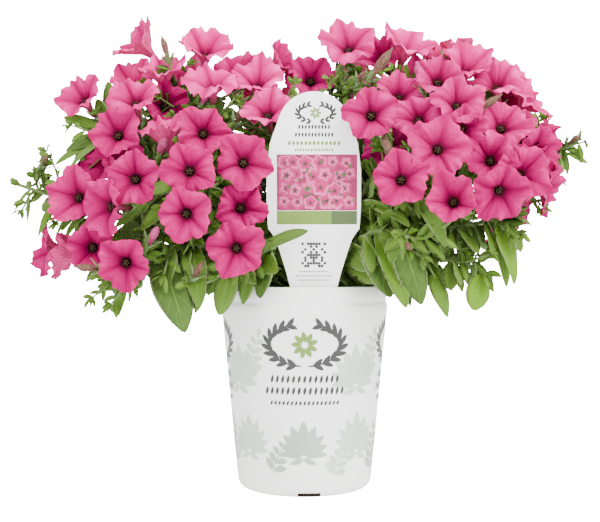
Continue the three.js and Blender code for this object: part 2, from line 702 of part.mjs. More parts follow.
// A flower: a slim tube that flares into five pointed lobes round a sunken throat. The lobes' rim
// has four points a lobe: tip, shoulder, notch, shoulder.
function flowerSolid(flower) {
  const petalHeight = (r, angle) => {
    const share = (r / flower.radius) ** 2;
    return flower.radius * share * (0.8 * flower.cup + 0.05 * Math.sin(2 * angle + flower.wave));
  };
  const points = [];
  const ring = (count, place) => {
    const start = points.length;
    for (let k = 0; k < count; k++) {
      const angle = (2 * Math.PI * k) / count;
      const [r, height] = place(k, angle);
      points.push(flowerPoint(flower, r, angle, height));
    }
    return (k) => start + (k % count);
  };
  const middle = 0.55 * flower.radius;
  const rimShares = [1, 0.95, 0.84, 0.95];
  const foot = ring(LOBES, () => [TUBE_FOOT_RADIUS, -TUBE_LENGTH]);
  const back = ring(LOBES, () => [THROAT_RADIUS + PETAL_THICKNESS, -2.4 - PETAL_THICKNESS]);
  const throat = ring(LOBES, () => [THROAT_RADIUS, -2.4]);
  const puffs = ring(2 * LOBES, (k, angle) => [middle, petalHeight(middle, angle) + (k % 2 ? 0.9 : -0.2)]);
  const rim = ring(4 * LOBES, (k, angle) => {
    const r = flower.radius * rimShares[k % 4];
    return [r, petalHeight(r, angle)];
  });
  const pit = points.push(flowerPoint(flower, 0, 0, -THROAT_DEPTH)) - 1;
  const triangles = [];
  for (let k = 1; k < LOBES - 1; k++) triangles.push([foot(0), foot(k + 1), foot(k)]);
  for (let k = 0; k < LOBES; k++) {
    triangles.push([foot(k), back(k + 1), back(k)], [foot(k), foot(k + 1), back(k + 1)]);
    triangles.push([pit, throat(k), throat(k + 1)]);
    for (let j = 4 * k - 2; j < 4 * k + 2; j++) triangles.push([back(k), rim(j + 21), rim(j + 20)]);
    triangles.push([back(k), back(k + 1), rim(4 * k + 2)]);
  }
  const widen = (inside, outside, count) => {
    for (let k = 0; k < count; k++) {
      triangles.push([inside(k), outside(2 * k), outside(2 * k + 1)]);
      triangles.push([inside(k), outside(2 * k + 1), inside(k + 1)]);
      triangles.push([inside(k + 1), outside(2 * k + 1), outside(2 * k + 2)]);
    }
  };
  widen(throat, puffs, LOBES);
  widen(puffs, rim, 2 * LOBES);
  return solidFrom(points, triangles);
}

// A flower stalk: a three-sided rod that widens into the calyx, a small cup with five sepals that
// stand round the tube's foot. Its rings keep the flower's own turn.
function stalkSolid({ flower, curve }) {
  const points = [];
  const third = (2 * Math.PI) / 3;
  const side = flower.right.clone();
  for (const t of [0.67, 0.33, 0]) {
    const tangent = curve.getTangent(t);
    side.addScaledVector(tangent, -side.dot(tangent)).normalize();
    const up = tangent.clone().cross(side);
    const centre = curve.getPoint(t);
    const ring = [0, 1, 2].map((k) =>
      centre.clone()
        .addScaledVector(side, STALK_RADIUS * Math.cos(k * third))
        .addScaledVector(up, STALK_RADIUS * Math.sin(k * third)));
    points.unshift(...ring);
  }
  const top = -TUBE_LENGTH - CALYX_GAP;
  const fifth = (2 * Math.PI) / LOBES;
  for (const [r, height, shift] of [
    [0.75 * CALYX_RADIUS, top - CALYX_LENGTH, 0],
    [CALYX_RADIUS, top, 0],
    [SEPAL_REACH, top + SEPAL_RISE, 0.5],
  ]) {
    for (let k = 0; k < LOBES; k++) points.push(flowerPoint(flower, r, (k + shift) * fifth, height));
  }
  const [cup, mouth, sepals] = [9, 9 + LOBES, 9 + 2 * LOBES];
  const triangles = [[0, 2, 1]];
  for (const ring of [0, 3]) {
    for (let k = 0; k < 3; k++) {
      const following = ring + ((k + 1) % 3);
      triangles.push([ring + k, following, following + 3], [ring + k, following + 3, ring + k + 3]);
    }
  }
  const [r0, r1, r2] = [6, 7, 8];
  triangles.push([r0, cup + 1, cup], [r0, r1, cup + 1], [r1, cup + 2, cup + 1], [r1, cup + 3, cup + 2]);
  triangles.push([r1, r2, cup + 3], [r2, cup + 4, cup + 3], [r2, cup, cup + 4], [r2, r0, cup]);
  for (let k = 1; k < LOBES - 1; k++) triangles.push([mouth, mouth + k, mouth + k + 1]);
  for (let k = 0; k < LOBES; k++) {
    const following = (k + 1) % LOBES;
    const corners = [mouth + k, cup + k, cup + following, mouth + following];
    corners.forEach((corner, i) => triangles.push([corner, corners[(i + 1) % 4], sepals + k]));
  }
  return solidFrom(points, triangles);
}

// A leaf: its cross-section is its left edge, its right edge and the midrib below; a broad leaf also
// has the midrib's upper line, so that its blade folds up along the rib.
function leafSolid(leaf) {
  const broad = leaf.width > BROAD_WIDTH;
  const stations = broad ? [[0.25, 0.92], [0.5, 1], [0.78, 0.62]] : [[0.3, 1], [0.66, 0.78]];
  const points = [leaf.at(0), leaf.at(1)];
  for (const [t, share] of stations) {
    const half = 0.5 * leaf.width * share;
    const tangent = leaf.at(t + 0.01).sub(leaf.at(t - 0.01)).normalize();
    const normal = leaf.side.clone().cross(tangent);
    const place = (sideways, lift) =>
      leaf.at(t).addScaledVector(leaf.side, sideways).addScaledVector(normal, lift);
    const fold = broad ? LEAF_FOLD * half : 0;
    points.push(place(0, -LEAF_THICKNESS / 2), place(-half, fold));
    if (broad) points.push(place(0, LEAF_THICKNESS / 2));
    points.push(place(half, fold));
  }
  const edges = broad ? 4 : 3;
  const last = 2 + edges * (stations.length - 1);
  const triangles = [];
  for (let k = 0; k < edges; k++) {
    const following = (k + 1) % edges;
    triangles.push([0, 2 + following, 2 + k], [1, last + k, last + following]);
    for (let start = 2; start < last; start += edges) {
      const [a, b] = [start + k, start + following];
      triangles.push([a, b, b + edges], [a, b + edges, a + edges]);
    }
  }
  return solidFrom(points, triangles);
}

function crownSolid({ foot }) {
  const crown = new THREE.CylinderGeometry(CROWN_RADIUS, CROWN_RADIUS, HOLE_DEPTH + 5, 6);
  crown.rotateX(Math.PI / 2).translate(foot[0], foot[1], FORK_LEVEL + 2 - (HOLE_DEPTH + 5) / 2);
  return solidOf(crown);
}

// Flowers whose petals cross are one node.
function flowerNodes(flowers) {
  const nodes = flowers.map((flower, i) => ({ numbers: [i + 1], solid: flowerSolid(flower) }));
  for (let i = 0; i < nodes.length; i++) {
    for (let j = i + 1; j < nodes.length; j++) {
      const shared = nodes[i].solid.intersect(nodes[j].solid);
      if (shared.isEmpty()) continue;
      nodes[i].solid = nodes[i].solid.add(nodes[j].solid);
      nodes[i].numbers.push(...nodes[j].numbers);
      nodes.splice(j, 1);
      j = i;
    }
  }
  return nodes;
}

const flowers = planFlowers();
const shoots = planShoots();
flowers.forEach((flower, i) => placeBalls(FLOWER_OWNER + i, flowerBalls(flower)));
shoots.forEach((shoot) => placeBalls(shoot.owner, shootBalls(shoot)));
const stalks = [];
flowers.forEach((flower, i) => {
  const stalk = planStalk(flower, i, shoots);
  if (!stalk) throw new Error(`flower ${i + 1} finds no way to a shoot`);
  placeBalls(stalk.owner, stalk.list);
  stalks.push(stalk);
});
const leaves = [];
for (const spec of BROAD_LEAVES) {
  const broad = planBroadLeaf(spec, shoots);
  if (!isFree(leafBalls(broad.leaf), broad.leaf.at(0))) throw new Error(`no room for the leaf at ${spec.tip}`);
  placeBalls(broad.owner, leafBalls(broad.leaf));
  leaves.push(broad);
}
shoots.forEach((shoot) => leaves.push(...planShootLeaves(shoot)));

const group = new THREE.Group();

function addPart(name, solid, material) {
  const mesh = new THREE.Mesh(geometryOf(solid), material);
  mesh.name = name;
  group.add(mesh);
}

addPart("pot", potSolid(), MATERIALS.pot);
addPart("soil", soilSolid(), MATERIALS.soil);
addPart("label", labelSolid(), MATERIALS.label);
LEAFY_STEMS.forEach((stem, owner) => {
  const isOwn = (piece) => piece.owner === owner;
  const pieces = [
    crownSolid(stem),
    ...shoots.filter(isOwn).map((s) => rod(s.curve, STEM_STEPS, 4, STEM_ROOT_RADIUS, STEM_TIP_RADIUS)),
    ...stalks.filter(isOwn).map(stalkSolid),
    ...leaves.filter(isOwn).map((l) => leafSolid(l.leaf)),
  ];
  addPart(`leafy_stem_${owner + 1}`, joined(pieces), MATERIALS.foliage);
});
for (const { numbers, solid } of flowerNodes(flowers)) {
  addPart(`flower_${numbers.join("_")}`, solid, MATERIALS.petal);
}

export default group;
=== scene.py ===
"""A flowering petunia in its white plastic nursery pot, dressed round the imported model.

The plan of the plant repeats the solids' own rule, so each bloom, stalk and leaf lies where its solid
lies: the same flowers, shoots and stream of numbers, and the same test for free room. Sizes are in
millimetres until a mesh is made. +Z is up, and -Y is the side with the label.
"""

import logging
import math
from collections.abc import Iterator
from dataclasses import dataclass, field, replace
from enum import Enum, IntEnum

import bpy
import numpy as np
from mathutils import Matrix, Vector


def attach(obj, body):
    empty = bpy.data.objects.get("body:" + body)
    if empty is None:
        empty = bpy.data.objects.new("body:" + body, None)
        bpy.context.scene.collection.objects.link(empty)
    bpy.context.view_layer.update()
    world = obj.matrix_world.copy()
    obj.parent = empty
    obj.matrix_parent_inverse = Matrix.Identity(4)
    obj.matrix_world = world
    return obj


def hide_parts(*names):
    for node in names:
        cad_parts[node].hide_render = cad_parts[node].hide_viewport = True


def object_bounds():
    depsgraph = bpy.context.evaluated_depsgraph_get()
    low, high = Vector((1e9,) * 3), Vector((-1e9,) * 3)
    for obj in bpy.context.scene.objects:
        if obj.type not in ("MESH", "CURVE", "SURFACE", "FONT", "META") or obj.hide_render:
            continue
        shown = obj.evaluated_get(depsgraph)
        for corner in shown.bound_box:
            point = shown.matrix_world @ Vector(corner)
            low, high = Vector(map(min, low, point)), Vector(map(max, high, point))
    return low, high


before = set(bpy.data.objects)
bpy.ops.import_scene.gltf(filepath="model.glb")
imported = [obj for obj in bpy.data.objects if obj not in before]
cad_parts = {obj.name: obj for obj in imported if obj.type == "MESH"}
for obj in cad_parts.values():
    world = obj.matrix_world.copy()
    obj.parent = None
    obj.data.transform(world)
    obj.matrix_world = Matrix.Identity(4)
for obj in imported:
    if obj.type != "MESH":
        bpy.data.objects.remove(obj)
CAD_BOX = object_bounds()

LOG = logging.getLogger("petunia")
MM = 0.001
Array = np.ndarray
Colour = tuple[float, float, float]

# Pot, soil and label, as in the solids
POT_HEIGHT = 130.0
COLLAR_RADIUS = 54.0
RIM_RADIUS = 51.6
FOOT_RADIUS = 43.6
FLAT_BASE_RADIUS = 38.0
POT_WALL = 1.5
POT_FLOOR = 2.4
SOIL_LEVEL = 119.0
LABEL_TOP = 249.0
LABEL_FOOT = 88.0
LABEL_HALF_WIDTH = 28.7
LABEL_HEAD_RADIUS = 22.0
LABEL_THICKNESS = 0.7
LABEL_X = 5.5
LABEL_Y = -43.4
LABEL_LEAN = math.radians(4)

# Flowers, stems and leaves, as in the solids
TUBE_LENGTH = 22.0
THROAT_RADIUS = 3.1
LOBES = 5
CALYX_GAP = 0.35
CALYX_LENGTH = 2.4
CALYX_RADIUS = 2.3
SEPAL_REACH = 6.5
SEPAL_RISE = 5.0
CROWN_RADIUS = 3.0
FORK_LEVEL = SOIL_LEVEL + 3
STEM_ROOT_RADIUS = 2.3
STEM_TIP_RADIUS = 1.1
STEM_STEPS = 7
STALK_RADIUS = 1.0
LEAF_SPACING = 27.0
FIRST_LEAF = 38.0
LAST_ROOT = 0.97
LEAF_LENGTHS = (38.0, 20.0)
LEAF_ASPECT = 0.46
LEAF_SCALES = (1, 0.75, 0.55)
LEAF_TURNS = (0, 0.6, -0.6, 1.2, -1.2, 2, -2, 3)
STEEPEST_LEAF = 0.85
GOLDEN_ANGLE = math.radians(137.5)
BROAD_DROOP = 0.35
VEIN_PAIRS = 6.5
VEIN_SLANT = 1.6
SEED = 20711

# Room kept between the pieces of the plant, as in the solids
HOLDER_GAP = 1.0
LABEL_SHOULDER_LEVEL = 133.0
LABEL_NECK_HALF_WIDTH = 16.0
LABEL_SHOULDER_SLOPE = 0.42
ROOT_RADIUS = 9.0
FLOWER_OWNER = 100
HIDDEN_OWNER = 300
BUD_OWNER = 400
STALK_STARTS = 20
FIRST_STALK_START = 6
STALK_TRIES = 80
STALK_LEADS = ((0.35, 0.45), (0.1, 0.6), (0.55, 0.3))
SHORTEST_STALK = 16.0
CLIMB_COST = 0.8
AHEAD_COST = 14

# The flowers seen from the label's side: the middle of the face, its turn to the right of -Y and its
# tilt upwards in degrees, its diameter, and how far its lobes cup forwards.
FRONT_FLOWERS = (
    ((-145, -10, 253), -25, 33, 34, 0.1),
    ((-106, -35, 249), -5, 42, 36, 0.0),
    ((-110, 12, 291), -58, 38, 34, 0.3),
    ((-65, 2, 286), 6, 44, 38, 0.2),
    ((-58, -30, 259), 0, 52, 37, 0.0),
    ((-92, -8, 268), -12, 60, 33, 0.2),
    ((-115, -55, 224), -10, 14, 34, 0.0),
    ((-101, -76, 195), -8, 6, 34, 0.1),
    ((-61, -60, 224), 4, 10, 32, 0.1),
    ((-67, -88, 199), 0, 8, 35, 0.0),
    ((-35, -73, 205), 12, 8, 35, 0.0),
    ((-69, -92, 172), -5, -10, 33, 0.1),
    ((-37, -71, 178), 10, 5, 31, 0.0),
    ((-40, -84, 153), 0, -4, 36, 0.0),
    ((-106, -80, 144), -8, -8, 32, 0.1),
    ((-130, -60, 154), -14, 0, 29, 0.1),
    ((-141, -52, 186), -24, 10, 38, 0.2),
    ((-119, -76, 178), -42, 0, 36, 0.2),
    ((-168, -14, 154), -66, 0, 34, 0.2),
    ((-150, -42, 150), -96, 12, 30, 0.1),
    ((-31, -13, 263), -4, 44, 35, 0.2),
    ((-24, -36, 241), -8, 38, 35, 0.0),
    ((-13, 2, 277), 66, 30, 32, 0.2),
    ((-86, -46, 225), -20, 66, 28, 0.4),
    ((28, -5, 288), -6, 38, 39, 0.2),
    ((39, -67, 234), -5, 10, 33, 0.0),
    ((68, 8, 288), 28, 52, 36, 0.3),
    ((50, 16, 284), -28, 30, 32, 0.2),
    ((94, -50, 244), 6, 28, 34, 0.1),
    ((78, -82, 212), 3, 8, 38, 0.0),
    ((55, -85, 194), -8, 8, 33, 0.0),
    ((83, -96, 181), -15, 12, 29, 0.6),
    ((111, -60, 208), -8, 14, 33, 0.1),
    ((131, -62, 199), 12, 10, 37, 0.0),
    ((122, -44, 231), 5, 28, 34, 0.1),
    ((121, -20, 261), -18, 42, 37, 0.1),
    ((147, -2, 251), 56, 38, 37, 0.1),
    ((104, 8, 279), 120, 48, 36, 0.1),
    ((61, -24, 254), 10, 35, 34, 0.0),
    ((68, -46, 236), -18, 28, 34, 0.0),
    ((152, -26, 220), 58, -8, 34, 0.1),
    ((116, -73, 185), 6, -22, 36, 0.1),
    ((154, -36, 189), 66, -16, 34, 0.1),
    ((4, 0, 267), 0, 24, 32, 0.1),
)

# The far side's bunches of three: the way out of the dome to each, as turn and tilt in degrees.
DOME_CENTRE = (-4, -5, 185)
DOME_RADII = (156, 112, 102)
DOME_BUNCHES = ((114, -3), (140, 26), (172, 2), (190, 44), (214, 6), (240, 26))
BUNCH_FLOWERS = 3
BUNCH_RADIUS = 15.5
BUNCH_SIZES = (32, 36)
BUNCH_CUP = 0.15
BUNCH_SPREAD = 0.18

# Each leafy stem: its foot, and for each shoot two points that draw its curve, and its tip.
LEAFY_STEMS = (
    ((-17, -14), (
        ((-40, -30, 165), (-80, -50, 165), (-114, -46, 136)),
        ((-30, -25, 160), (-60, -45, 190), (-92, -46, 200)),
        ((-18, -25, 145), (-28, -45, 152), (-46, -58, 140)),
    )),
    ((-21, 0), (
        ((-60, -10, 170), (-120, -15, 172), (-186, -18, 196)),
        ((-50, -5, 180), (-90, -8, 215), (-128, -10, 226)),
    )),
    ((-15, 12), (
        ((-30, 8, 180), (-60, 8, 225), (-84, 4, 258)),
        ((-28, -2, 180), (-50, -15, 215), (-62, -20, 234)),
    )),
    ((-2, 18), (
        ((-6, 5, 180), (-16, -2, 215), (-20, -4, 236)),
        ((4, 8, 190), (12, 8, 235), (18, 2, 260)),
    )),
    ((14, 12), (
        ((30, 12, 180), (55, 12, 230), (74, 8, 262)),
        ((35, 5, 180), (70, 0, 225), (104, -8, 246)),
    )),
    ((17, -14), (
        ((22, -22, 165), (36, -34, 195), (52, -42, 208)),
        ((30, -25, 165), (62, -40, 190), (88, -50, 196)),
        ((22, -28, 158), (42, -50, 174), (66, -62, 158)),
    )),
    ((21, 0), (
        ((60, -5, 170), (120, -8, 190), (176, -10, 224)),
        ((50, -15, 165), (90, -35, 165), (130, -42, 174)),
        ((45, -10, 150), (80, -40, 155), (112, -48, 138)),
    )),
    ((16, 26), (
        ((40, 38, 175), (85, 60, 195), (112, 70, 178)),
        ((30, 38, 190), (60, 52, 240), (78, 46, 256)),
    )),
    ((0, 32), (
        ((2, 48, 180), (-5, 75, 200), (0, 92, 176)),
        ((-5, 40, 200), (-10, 50, 240), (-12, 48, 258)),
    )),
    ((-17, 26), (
        ((-40, 38, 175), (-85, 60, 195), (-112, 68, 176)),
        ((-35, 34, 190), (-65, 48, 235), (-82, 44, 252)),
    )),
)

# The broad old leaves over the rim: stem, shoot, how far along it, the tip, the width of the blade,
# and how bright a green it has, from 0 to 1; the bright green is partly painted backlight glow.
BROAD_LEAVES = (
    (0, 0, 0.78, (-70, -76, 104), 24, 0.0),
    (0, 0, 0.58, (-62, -72, 118), 14, 0.3),
    (0, 0, 0.97, (-112, -56, 113), 10, 0.3),
    (0, 2, 0.97, (-50, -72, 114), 14, 0.1),
    (0, 2, 0.45, (-26, -64, 124), 14, 0.0),
    (0, 2, 0.85, (2, -61, 164), 8, 0.0),
    (1, 1, 0.97, (-146, -36, 203), 11, 0.05),
    (1, 0, 0.45, (-78, -14, 118), 14, 0.2),
    (5, 2, 0.52, (51, -62, 124), 19, 0.0),
    (5, 2, 0.65, (60, -68, 118), 15, 0.5),
    (5, 2, 0.85, (69, -68, 120), 20, 0.0),
    (5, 1, 0.72, (82, -74, 154), 16, 0.1),
    (5, 0, 0.6, (62, -66, 166), 14, 0.2),
    (6, 2, 0.6, (85, -62, 112), 15, 0.4),
    (6, 2, 0.8, (93, -62, 131), 11, 0.1),
    (6, 2, 0.97, (102, -54, 116), 16, 0.9),
    (6, 1, 0.9, (122, -52, 130), 17, 0.7),
    (7, 0, 0.6, (84, 74, 128), 16, 0.3),
    (8, 0, 0.8, (12, 96, 130), 15, 0.3),
    (9, 0, 0.6, (-82, 74, 128), 16, 0.3),
)

# More leaves that show between and past the flowers, given like the broad ones.
MORE_LEAVES = (
    (1, 0, 0.86, (-168, -26, 161), 10, 0.5),
    (1, 1, 0.90, (-135, -30, 203), 9, 0.0),
    (1, 1, 0.85, (-118, -40, 205), 12, 0.0),
    (0, 0, 0.90, (-100, -64, 152), 11, 0.0),
    (0, 0, 0.70, (-80, -66, 132), 13, 0.0),
    (0, 0, 0.60, (-70, -66, 140), 12, 0.1),
    (0, 1, 0.85, (-92, -60, 186), 12, 0.0),
    (0, 1, 0.70, (-84, -62, 172), 13, 0.0),
    (0, 1, 0.60, (-66, -62, 160), 12, 0.0),
    (0, 1, 0.50, (-76, -58, 158), 12, 0.1),
    (0, 2, 0.35, (-30, -52, 138), 13, 0.0),
    (0, 2, 0.30, (-20, -48, 142), 12, 0.0),
    (5, 0, 0.25, (40, -50, 150), 13, 0.0),
    (5, 0, 0.45, (50, -58, 178), 13, 0.0),
    (5, 0, 0.80, (62, -62, 196), 11, 0.0),
    (5, 2, 0.35, (38, -54, 140), 14, 0.0),
    (5, 2, 0.45, (44, -60, 150), 13, 0.0),
    (5, 1, 0.60, (74, -66, 176), 14, 0.0),
    (5, 1, 0.85, (98, -64, 170), 12, 0.0),
    (6, 1, 0.70, (104, -58, 150), 12, 0.1),
    (6, 1, 0.85, (112, -62, 148), 9, 0.5),
    (6, 1, 0.97, (136, -60, 167), 9, 0.2),
    (6, 1, 0.92, (128, -60, 156), 8, 0.3),
    (6, 2, 0.55, (78, -60, 136), 13, 0.0),
    (0, 1, 0.90, (-106, -60, 172), 12, 0.1),
    (0, 1, 0.80, (-114, -58, 166), 10, 0.0),
    (0, 0, 0.95, (-120, -60, 158), 10, 0.1),
    (0, 1, 0.75, (-98, -60, 164), 12, 0.2),
    (0, 0, 0.85, (-96, -66, 146), 12, 0.0),
    (1, 1, 0.97, (-147, -16, 211), 11, 0.3),
    (1, 1, 0.80, (-133, -22, 206), 12, 0.0),
    (1, 1, 0.97, (-134, -10, 250), 10, 0.2),
    (1, 0, 0.72, (-147, -40, 160), 11, 0.2),
    (1, 0, 0.62, (-134, -44, 166), 12, 0.0),
    (0, 2, 0.20, (-14, -34, 131), 12, 0.0),
    (0, 2, 0.30, (-5, -36, 134), 14, 0.0),
    (0, 2, 0.25, (-32, -38, 131), 13, 0.0),
    (5, 0, 0.12, (26, -36, 131), 12, 0.0),
    (5, 0, 0.18, (38, -34, 131), 13, 0.0),
    (4, 0, 0.60, (38, -14, 214), 14, 0.0),
    (4, 0, 0.70, (44, -6, 236), 13, 0.1),
    (4, 1, 0.60, (58, -14, 234), 13, 0.0),
    (4, 0, 0.95, (64, -8, 272), 10, 0.1),
    (4, 0, 0.97, (80, -4, 276), 10, 0.1),
    (4, 1, 0.95, (126, -8, 252), 12, 0.0),
    (2, 0, 0.97, (-96, -4, 270), 10, 0.1),
    (2, 0, 0.90, (-56, -14, 252), 12, 0.0),
    (2, 1, 0.97, (-50, -30, 243), 12, 0.0),
    (6, 0, 0.50, (98, -34, 214), 15, 0.0),
    (6, 0, 0.55, (106, -36, 217), 17, 0.0),
    (4, 0, 0.45, (36, -12, 232), 16, 0.0),
    (1, 1, 0.97, (-153, -14, 216), 11, 0.0),
    (1, 1, 0.90, (-138, -16, 200), 12, 0.0),
    (1, 1, 0.97, (-155, -12, 238), 8, 0.3),
    (1, 1, 0.97, (-127, -8, 262), 10, 0.1),
    (3, 0, 0.12, (-14, -22, 135), 14, 0.0),
    (0, 0, 0.90, (-108, -40, 172), 14, 0.0),
    (0, 1, 0.85, (-112, -44, 180), 13, 0.0),
    (1, 0, 0.50, (-112, -20, 172), 15, 0.0),
    (1, 0, 0.55, (-104, -18, 158), 15, 0.1),
    (6, 1, 0.75, (98, -46, 148), 12, 0.0),
    (6, 1, 0.90, (125, -60, 132), 16, 0.8),
    (0, 2, 0.90, (-22, -60, 157), 10, 0.0),
    (2, 1, 0.97, (-56, -10, 252), 13, 0.0),
    (1, 1, 0.92, (-147, -20, 202), 10, 0.0),
    (1, 1, 0.95, (-159, -18, 207), 7, 0.2),
    (1, 0, 0.72, (-136, -24, 214), 11, 0.0),
    (2, 1, 0.85, (-46, -14, 244), 13, 0.0),
    (3, 0, 0.90, (-34, -14, 241), 12, 0.0),
    (0, 1, 0.90, (-92, -40, 214), 12, 0.0),
    (2, 1, 0.90, (-38, -16, 232), 14, 0.0),
    (3, 0, 0.80, (-24, -16, 214), 12, 0.0),
    (0, 1, 0.45, (-60, -40, 191), 14, 0.0),
    (0, 0, 0.75, (-90, -50, 152), 13, 0.0),
)

# Flowers half hidden among the others, given like those at the front.
HIDDEN_FLOWERS = (
    ((-88, -14, 247), 20, 10, 30, 0.1),
    ((-114, 10, 266), -10, 45, 30, 0.2),
    ((-113, -42, 207), -20, 0, 32, 0.1),
    ((50, -30, 219), -30, 10, 32, 0.1),
    ((98, -56, 226), 20, 0, 30, 0.1),
    ((139, -26, 226), 10, 30, 34, 0.2),
    ((-78, 18, 268), -30, 40, 34, 0.2),
    ((-46, 16, 272), 10, 40, 32, 0.2),
    ((88, 22, 286), 0, 60, 36, 0.2),
    ((104, -14, 272), 10, 45, 34, 0.2),
    ((138, 12, 262), 30, 40, 34, 0.2),
    ((-128, -34, 208), -40, 10, 32, 0.2),
    ((84, -30, 262), 0, 30, 33, 0.1),
    ((146, -44, 214), 30, 0, 32, 0.1),
    ((-46, 50, 272), 190, 50, 34, 0.2),
    ((34, 52, 270), 170, 50, 34, 0.2),
    ((-90, 66, 232), 215, 20, 34, 0.2),
    ((92, 68, 226), 145, 20, 34, 0.2),
    ((0, 88, 226), 182, 20, 34, 0.2),
    ((-132, 34, 222), 262, 20, 34, 0.2),
    ((138, 36, 214), 96, 20, 34, 0.2),
    ((-40, 84, 206), 200, 0, 33, 0.2),
    ((44, 84, 200), 160, 0, 33, 0.2),
    ((128, 8, 256), 10, 20, 34, 0.2),
    ((71, 2, 266), -10, 45, 32, 0.2),
)

# Buds and folded flowers: the foot and the tip of each, its radius, and how blunt its end is.
BUDS = (
    ((41, -20, 261), (56, -24, 281), 3.0, 0.0),
    ((89, -15, 266), (87, -20, 281), 2.8, 0.0),
    ((75, -25, 253), (70, -30, 271), 2.6, 0.3),
    ((102, -40, 236), (121, -46, 248), 2.4, 0.0),
    ((22, -8, 270), (26, -12, 279), 1.8, 0.0),
    ((34, -18, 259), (38, -24, 266), 1.8, 0.0),
    ((46, -62, 222), (51, -68, 207), 2.4, 0.0),
    ((-66, -20, 245), (-58, -26, 256), 2.6, 0.3),
    ((-43, -30, 232), (-38, -36, 242), 2.0, 0.0),
    ((-90, -45, 210), (-84, -52, 221), 2.8, 0.5),
    ((-66, -64, 136), (-60, -70, 146), 2.0, 0.0),
    ((-92, -68, 156), (-86, -75, 166), 2.2, 0.4),
    ((-88, -3, 276), (-93, -5, 293), 2.2, 0.0),
    ((58, -60, 160), (63, -66, 152), 2.0, 0.0),
    ((113, -60, 192), (102, -68, 181), 2.2, 0.0),
    ((-122, -68, 141), (-136, -72, 143), 2.3, 0.0),
    ((-166, -24, 206), (-161, -27, 214), 1.7, 0.0),
    ((168, -14, 220), (176, -18, 227), 1.7, 0.0),
    ((-20, 70, 240), (-24, 78, 256), 2.6, 0.2),
    ((60, 62, 240), (70, 70, 254), 2.6, 0.2),
    ((-104, 50, 236), (-116, 56, 248), 2.6, 0.2),
)

# Leafy side twigs that show past the flowers: stem, shoot, how far along it, and the tip.
TWIGS = (
    (1, 0, 0.80, (-160, -24, 211)),
    (1, 0, 0.92, (-178, -26, 178)),
    (1, 0, 0.72, (-154, -40, 170)),
    (1, 1, 0.80, (-148, -22, 232)),
    (0, 0, 0.90, (-128, -54, 124)),
    (0, 0, 0.80, (-116, -60, 120)),
    (0, 0, 0.65, (-84, -66, 138)),
    (0, 1, 0.70, (-84, -62, 178)),
    (0, 1, 0.60, (-72, -66, 168)),
    (0, 2, 0.60, (-40, -64, 140)),
    (3, 0, 0.90, (-6, -30, 258)),
    (3, 1, 0.85, (16, -18, 262)),
    (4, 0, 0.90, (42, -14, 266)),
    (5, 1, 0.80, (58, -64, 182)),
    (5, 2, 0.70, (70, -62, 148)),
    (6, 1, 0.85, (130, -54, 162)),
    (6, 0, 0.72, (147, -42, 179)),
    (6, 0, 0.92, (160, -24, 210)),
    (6, 2, 0.80, (112, -58, 150)),
    (2, 0, 0.85, (-104, -8, 261)),
    (2, 0, 0.95, (-74, -10, 272)),
    (2, 0, 0.75, (-92, -14, 250)),
    (2, 1, 0.90, (-44, -28, 248)),
    (2, 1, 0.80, (-82, -28, 238)),
    (2, 1, 0.70, (-60, -34, 240)),
    (3, 0, 0.85, (-30, -14, 248)),
    (1, 1, 0.90, (-132, -14, 241)),
    (1, 1, 0.70, (-112, -20, 238)),
    (3, 1, 0.90, (30, -4, 272)),
    (4, 0, 0.95, (58, -8, 270)),
    (4, 0, 0.80, (80, -10, 264)),
    (4, 1, 0.90, (106, -22, 252)),
    (6, 0, 0.85, (146, -30, 236)),
    (4, 1, 0.75, (88, -34, 238)),
)


def unit(v: Array) -> Array:
    """The vectors at length 1."""
    return v / np.linalg.norm(v, axis=-1, keepdims=True)


def mix(start: float, end: float, share: float) -> float:
    """The value that lies share of the way from start to end."""
    return start + (end - start) * share


def facing(turn: float, tilt: float) -> Array:
    """The unit vector that looks turn degrees to the right of -Y and tilt above the horizon."""
    t, e = math.radians(turn), math.radians(tilt)
    return np.array([math.sin(t) * math.cos(e), -math.cos(t) * math.cos(e), math.sin(e)])


def across(tangent: Array) -> tuple[Array, Array]:
    """The two directions across a stem that runs along tangent."""
    reference = (0, 1, 0) if abs(tangent[2]) > 0.9 else (0, 0, 1)
    side = unit(np.cross(tangent, reference))
    return side, np.cross(side, tangent)


def swing(side: Array, up: Array, angle: float) -> Array:
    """The direction at an angle from side towards up."""
    return side * math.cos(angle) + up * math.sin(angle)


def level_axes(axis: Array) -> tuple[Array, Array]:
    """The level direction across an axis, and the one that stands across both."""
    level = unit(np.cross((0, 0, 1), axis))
    return level, np.cross(axis, level)


def flat_ray(angle: float) -> Array:
    """The unit vector of a flat drawing at an angle."""
    return np.array([math.cos(angle), math.sin(angle)])


def left_of(way: Array) -> Array:
    """A vector of a flat drawing, turned a quarter to the left."""
    return np.array([-way[1], way[0]])


def wreath(middle: Array, wide: float, tall: float, turns: Array) -> Iterator[tuple[Array, Array]]:
    """Places up both sides of an oval, each with the way on from it."""
    for hand in (-1, 1):
        for turn in turns:
            at = middle + (hand * wide * math.sin(turn), -tall * math.cos(turn))
            yield at, unit(np.array([hand * wide * math.cos(turn), tall * math.sin(turn)]))


def as_column(values: tuple | Array) -> Array:
    """Numbers as a column."""
    return np.array(values)[:, None]


class Stream:
    """A repeatable stream of numbers from 0 to 1."""

    def __init__(self, seed: int) -> None:
        """Starts the stream."""
        self.state = seed

    def next(self) -> float:
        """The next number."""
        self.state = self.state * 16807 % 2147483647
        return self.state / 2147483647


